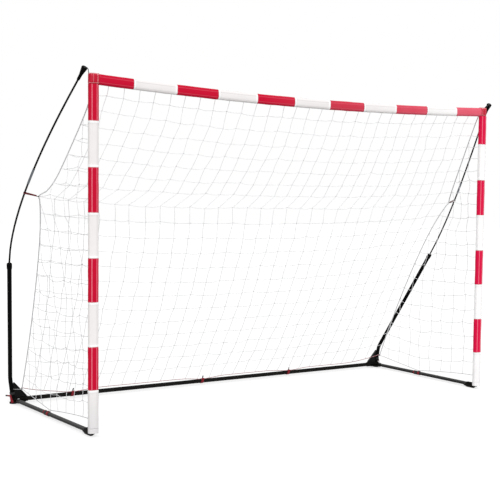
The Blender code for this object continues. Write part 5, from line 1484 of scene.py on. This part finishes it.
class GoalSizes(bpy.types.PropertyGroup):
    """Sizes of the soft pieces."""

    mesh_pitch: metres("Mesh pitch", "Side of one mesh of the back net", 0.103, 0.05, 0.20)
    side_pitch: metres("Side mesh pitch", "Width of a side net's mesh", 0.110, 0.05, 0.20)
    twine_diameter: metres("Twine", "Diameter of the net's twine", 0.0030, 0.001, 0.006)
    knot_diameter: metres("Knots", "Diameter of the net's knots", 0.0062, 0.002, 0.012)
    net_unevenness: metres("Unevenness", "How far knots of the back net stray", 0.0035, 0.0, 0.02)
    side_unevenness: metres("Side unevenness", "How far knots of the side nets stray", 0.0065,
                            0.0, 0.02)
    strand_sag: metres("Strand sag", "Sag of a level strand", 0.0040, 0.0, 0.02)
    strand_wave: metres("Strand wave", "How far strands bow between knots", 0.0013, 0.0, 0.01)
    hem_strip: metres("Hem strip", "Width of the sewn hems of a white band", 0.012, 0.005, 0.03)
    crease_depth: metres("Crease depth", "Depth of folds in the sleeves", 0.0011, 0.0, 0.004)
    strap_tail: metres("Strap tail", "Free end of each back strap", 0.018, 0.0, 0.08)


class GoalColours(bpy.types.PropertyGroup):
    """Colours of the goal's materials."""

    red: tint("Red cloth", "Red bands of the sleeves", (0.600, 0.004, 0.034))
    white: tint("White cloth", "White bands of the sleeves", (0.870, 0.843, 0.838))
    steel: tint("Black steel", "Powder coat of the base", (0.0020, 0.0020, 0.0020))
    rail: tint("Rail steel", "Powder coat of the side rails", (0.004, 0.004, 0.004))
    plastic: tint("Plastic", "Moulded feet, collars and caps", (0.0015, 0.0015, 0.0015))
    fibreglass: tint("Fibreglass", "Bow poles", (0.0015, 0.0015, 0.0015))
    ferrule: tint("Ferrule", "Metal ferrule of each pole", (0.15, 0.165, 0.18))
    zinc: tint("Zinc", "Bolts, nuts and snap buttons", (0.55, 0.56, 0.57))
    twine: tint("Twine", "Strands of the net", (0.93, 0.93, 0.94))
    knot: tint("Knots", "Knots of the net", (0.66, 0.66, 0.68))
    rope: tint("Border rope", "Cords at the net's rear corners and side hems", (0.66, 0.66, 0.67))
    hem: tint("Hem line", "Hem of the back net", (0.45, 0.37, 0.38))
    webbing: tint("Webbing", "Red straps and ties", (0.27, 0.008, 0.018))
    black_webbing: tint("Black webbing", "Black tabs and ends", (0.020, 0.019, 0.020))


# Stage, with the camera fitted to the photograph

CAMERA_PLACE = (-4.3087, -5.9061, 1.3898)
CAMERA_TURNS = (("Z", -0.6187), ("X", 1.5157), ("Z", 0.0221))
CAMERA_LENS = 78.23
CAMERA_SENSOR = 36.0
CAMERA_REACH = 200.0
FLOOR_HALF = 30.0
LAMPS = (("key", Vector((-0.22, -0.80, 0.50)), 1.75),        # in front, above and a little left
         ("fill", Vector((-0.45, 0.70, 0.50)), 0.55))        # behind, above and left
SOFT_ANGLE = math.radians(34)
AMBIENT = 0.72
FLOOR_GLOW = 0.62
FLOOR_COLOR = (0.42, 0.42, 0.42)
WHITE = (1, 1, 1, 1)
BLACK = (0, 0, 0, 1)


def make_floor():
    """Plain pale floor. It reads white to the camera and keeps the object's soft shadow."""
    mesh = bpy.data.meshes.new("floor")
    r = FLOOR_HALF
    mesh.from_pydata([(-r, -r, 0), (r, -r, 0), (r, r, 0), (-r, r, 0)], [], [(0, 1, 2, 3)])
    floor = bpy.data.objects.new("floor", mesh)
    bpy.context.scene.collection.objects.link(floor)
    pale = Finish("floor_finish", FLOOR_COLOR, 0.9, specular=0.0)
    glow = pale.node("ShaderNodeEmission", None, {"Color": WHITE, "Strength": 1.0})
    unlit = pale.node("ShaderNodeEmission", None, {"Color": BLACK, "Strength": 0.0})
    added = pale.node("ShaderNodeMixShader", None,
                      {0: pale.seen_directly() * FLOOR_GLOW, 1: unlit, 2: glow})
    lit = Wire(pale, pale.shader.outputs[0])
    total = pale.node("ShaderNodeAddShader", None, {0: lit, 1: added})
    pale.tree.links.new(total.socket, pale.tree.nodes["Material Output"].inputs["Surface"])
    mesh.materials.append(pale.material)


def make_world():
    """White background, with a plain ambient light for everything else."""
    world = bpy.data.worlds.new("studio")
    world.use_nodes = True
    bpy.context.scene.world = world
    sky = Nodes(world.node_tree)
    background = sky.tree.nodes["Background"]
    background.inputs["Color"].default_value = WHITE
    strength = sky.seen_directly() * (1.0 - AMBIENT) + AMBIENT
    sky.tree.links.new(strength.socket, background.inputs["Strength"])


def add_lamp(name, direction, strength):
    """A soft distant lamp that shines from a direction."""
    lamp = bpy.data.lights.new(name, "SUN")
    lamp.energy = strength
    lamp.angle = SOFT_ANGLE
    obj = bpy.data.objects.new(name, lamp)
    obj.rotation_euler = direction.to_track_quat("Z", "Y").to_euler()
    bpy.context.scene.collection.objects.link(obj)


def make_camera():
    """Camera at the photograph's viewing angle."""
    data = bpy.data.cameras.new("camera")
    data.lens = CAMERA_LENS
    data.sensor_width = CAMERA_SENSOR
    data.sensor_fit = "HORIZONTAL"
    data.clip_end = CAMERA_REACH
    camera = bpy.data.objects.new("camera", data)
    matrix = Matrix.Translation(CAMERA_PLACE)
    for axis, angle in CAMERA_TURNS:
        matrix = matrix @ Matrix.Rotation(angle, 4, axis)
    camera.matrix_world = matrix
    bpy.context.scene.collection.objects.link(camera)
    bpy.context.scene.camera = camera


# Operators


class GOAL_OT_stage(bpy.types.Operator):
    """Make the floor, the lamps, the background and the camera"""
    bl_idname = "goal.stage"
    bl_label = "Stage"

    def execute(self, context):
        make_camera()
        make_floor()
        make_world()
        for lamp in LAMPS:
            add_lamp(*lamp)
        context.scene.view_settings.view_transform = "Standard"
        return {"FINISHED"}


class GOAL_OT_base(bpy.types.Operator):
    """Finish the steel base, the poles and their fittings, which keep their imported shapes"""
    bl_idname = "goal.base"
    bl_label = "Base and poles"

    def execute(self, context):
        finishes = {f"{side}_{part}": name for name, parts in NODE_FINISHES.items()
                    for part in parts for side in SIDES}
        finishes.update({bar: "black_steel" for bar in BACK_BARS})
        for node, name in finishes.items():
            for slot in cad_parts[node].material_slots:
                slot.material = finish(name)
        return {"FINISHED"}


class GOAL_OT_posts(bpy.types.Operator):
    """Make the post sleeves, and the cuffs and moulded feet that fold with the rails"""
    bl_idname = "goal.posts"
    bl_label = "Post sleeves and feet"

    def execute(self, context):
        for name, side in SIDES.items():
            make_post_sleeve(name, side)
            make_cuff(name, side)
            make_foot(name, side)
        return {"FINISHED"}


class GOAL_OT_crossbar(bpy.types.Operator):
    """Make the crossbar sleeve"""
    bl_idname = "goal.crossbar"
    bl_label = "Crossbar sleeve"

    def execute(self, context):
        make_crossbar()
        return {"FINISHED"}


class GOAL_OT_corners(bpy.types.Operator):
    """Make the corner patches and the tabs that hang them on the poles"""
    bl_idname = "goal.corners"
    bl_label = "Corner patches"

    def execute(self, context):
        for name, side in SIDES.items():
            make_corner_patch(name, side)
            make_corner_tab(name, side)
        return {"FINISHED"}


class GOAL_OT_back_net(bpy.types.Operator):
    """Make the back net"""
    bl_idname = "goal.back_net"
    bl_label = "Back net"

    def execute(self, context):
        make_back_net()
        return {"FINISHED"}


class GOAL_OT_side_nets(bpy.types.Operator):
    """Make the side nets"""
    bl_idname = "goal.side_nets"
    bl_label = "Side nets"

    def execute(self, context):
        for name, side in SIDES.items():
            make_side_net(name, side)
        return {"FINISHED"}


class GOAL_OT_cords(bpy.types.Operator):
    """Make the border ropes and the hem lines"""
    bl_idname = "goal.cords"
    bl_label = "Cords and hems"

    def execute(self, context):
        for name, side in SIDES.items():
            make_border_cord(name, side)
            make_side_hem(name, side)
        make_back_hem()
        return {"FINISHED"}


class GOAL_OT_straps(bpy.types.Operator):
    """Make the straps of the base and the ties of the poles"""
    bl_idname = "goal.straps"
    bl_label = "Straps and ties"

    def execute(self, context):
        for name, x in BACK_STRAPS_X.items():
            make_back_strap(name, x)
        for name, side in SIDES.items():
            make_rail_strap(name, side)
            make_corner_strap(name, side)
            make_pole_tie(name, side)
        return {"FINISHED"}


STEPS = (GOAL_OT_stage, GOAL_OT_base, GOAL_OT_posts, GOAL_OT_crossbar, GOAL_OT_corners,
         GOAL_OT_back_net, GOAL_OT_side_nets, GOAL_OT_cords, GOAL_OT_straps)


class GOAL_PT_steps(bpy.types.Panel):
    """The goal's pieces, in the order in which they are made"""
    bl_idname = "GOAL_PT_steps"
    bl_label = "Handball goal"
    bl_space_type = "VIEW_3D"
    bl_region_type = "UI"
    bl_category = "Goal"

    def draw(self, context):
        for step in STEPS:
            self.layout.operator(step.bl_idname)
        for group in (context.scene.goal_sizes, context.scene.goal_colours):
            box = self.layout.box()
            for name in type(group).__annotations__:
                box.prop(group, name)


CLASSES = (GoalSizes, GoalColours, *STEPS, GOAL_PT_steps)


def register():
    """Register the goal's classes and its settings on the scene."""
    for cls in CLASSES:
        bpy.utils.register_class(cls)
    bpy.types.Scene.goal_sizes = PointerProperty(type=GoalSizes)
    bpy.types.Scene.goal_colours = PointerProperty(type=GoalColours)


def unregister():
    """Take the classes and settings away again."""
    del bpy.types.Scene.goal_colours
    del bpy.types.Scene.goal_sizes
    for cls in reversed(CLASSES):
        bpy.utils.unregister_class(cls)


def main():
    """Make the whole goal."""
    register()
    for step in STEPS:
        group, name = step.bl_idname.split(".")
        getattr(getattr(bpy.ops, group), name)()


if __name__ == "__main__":
    main()
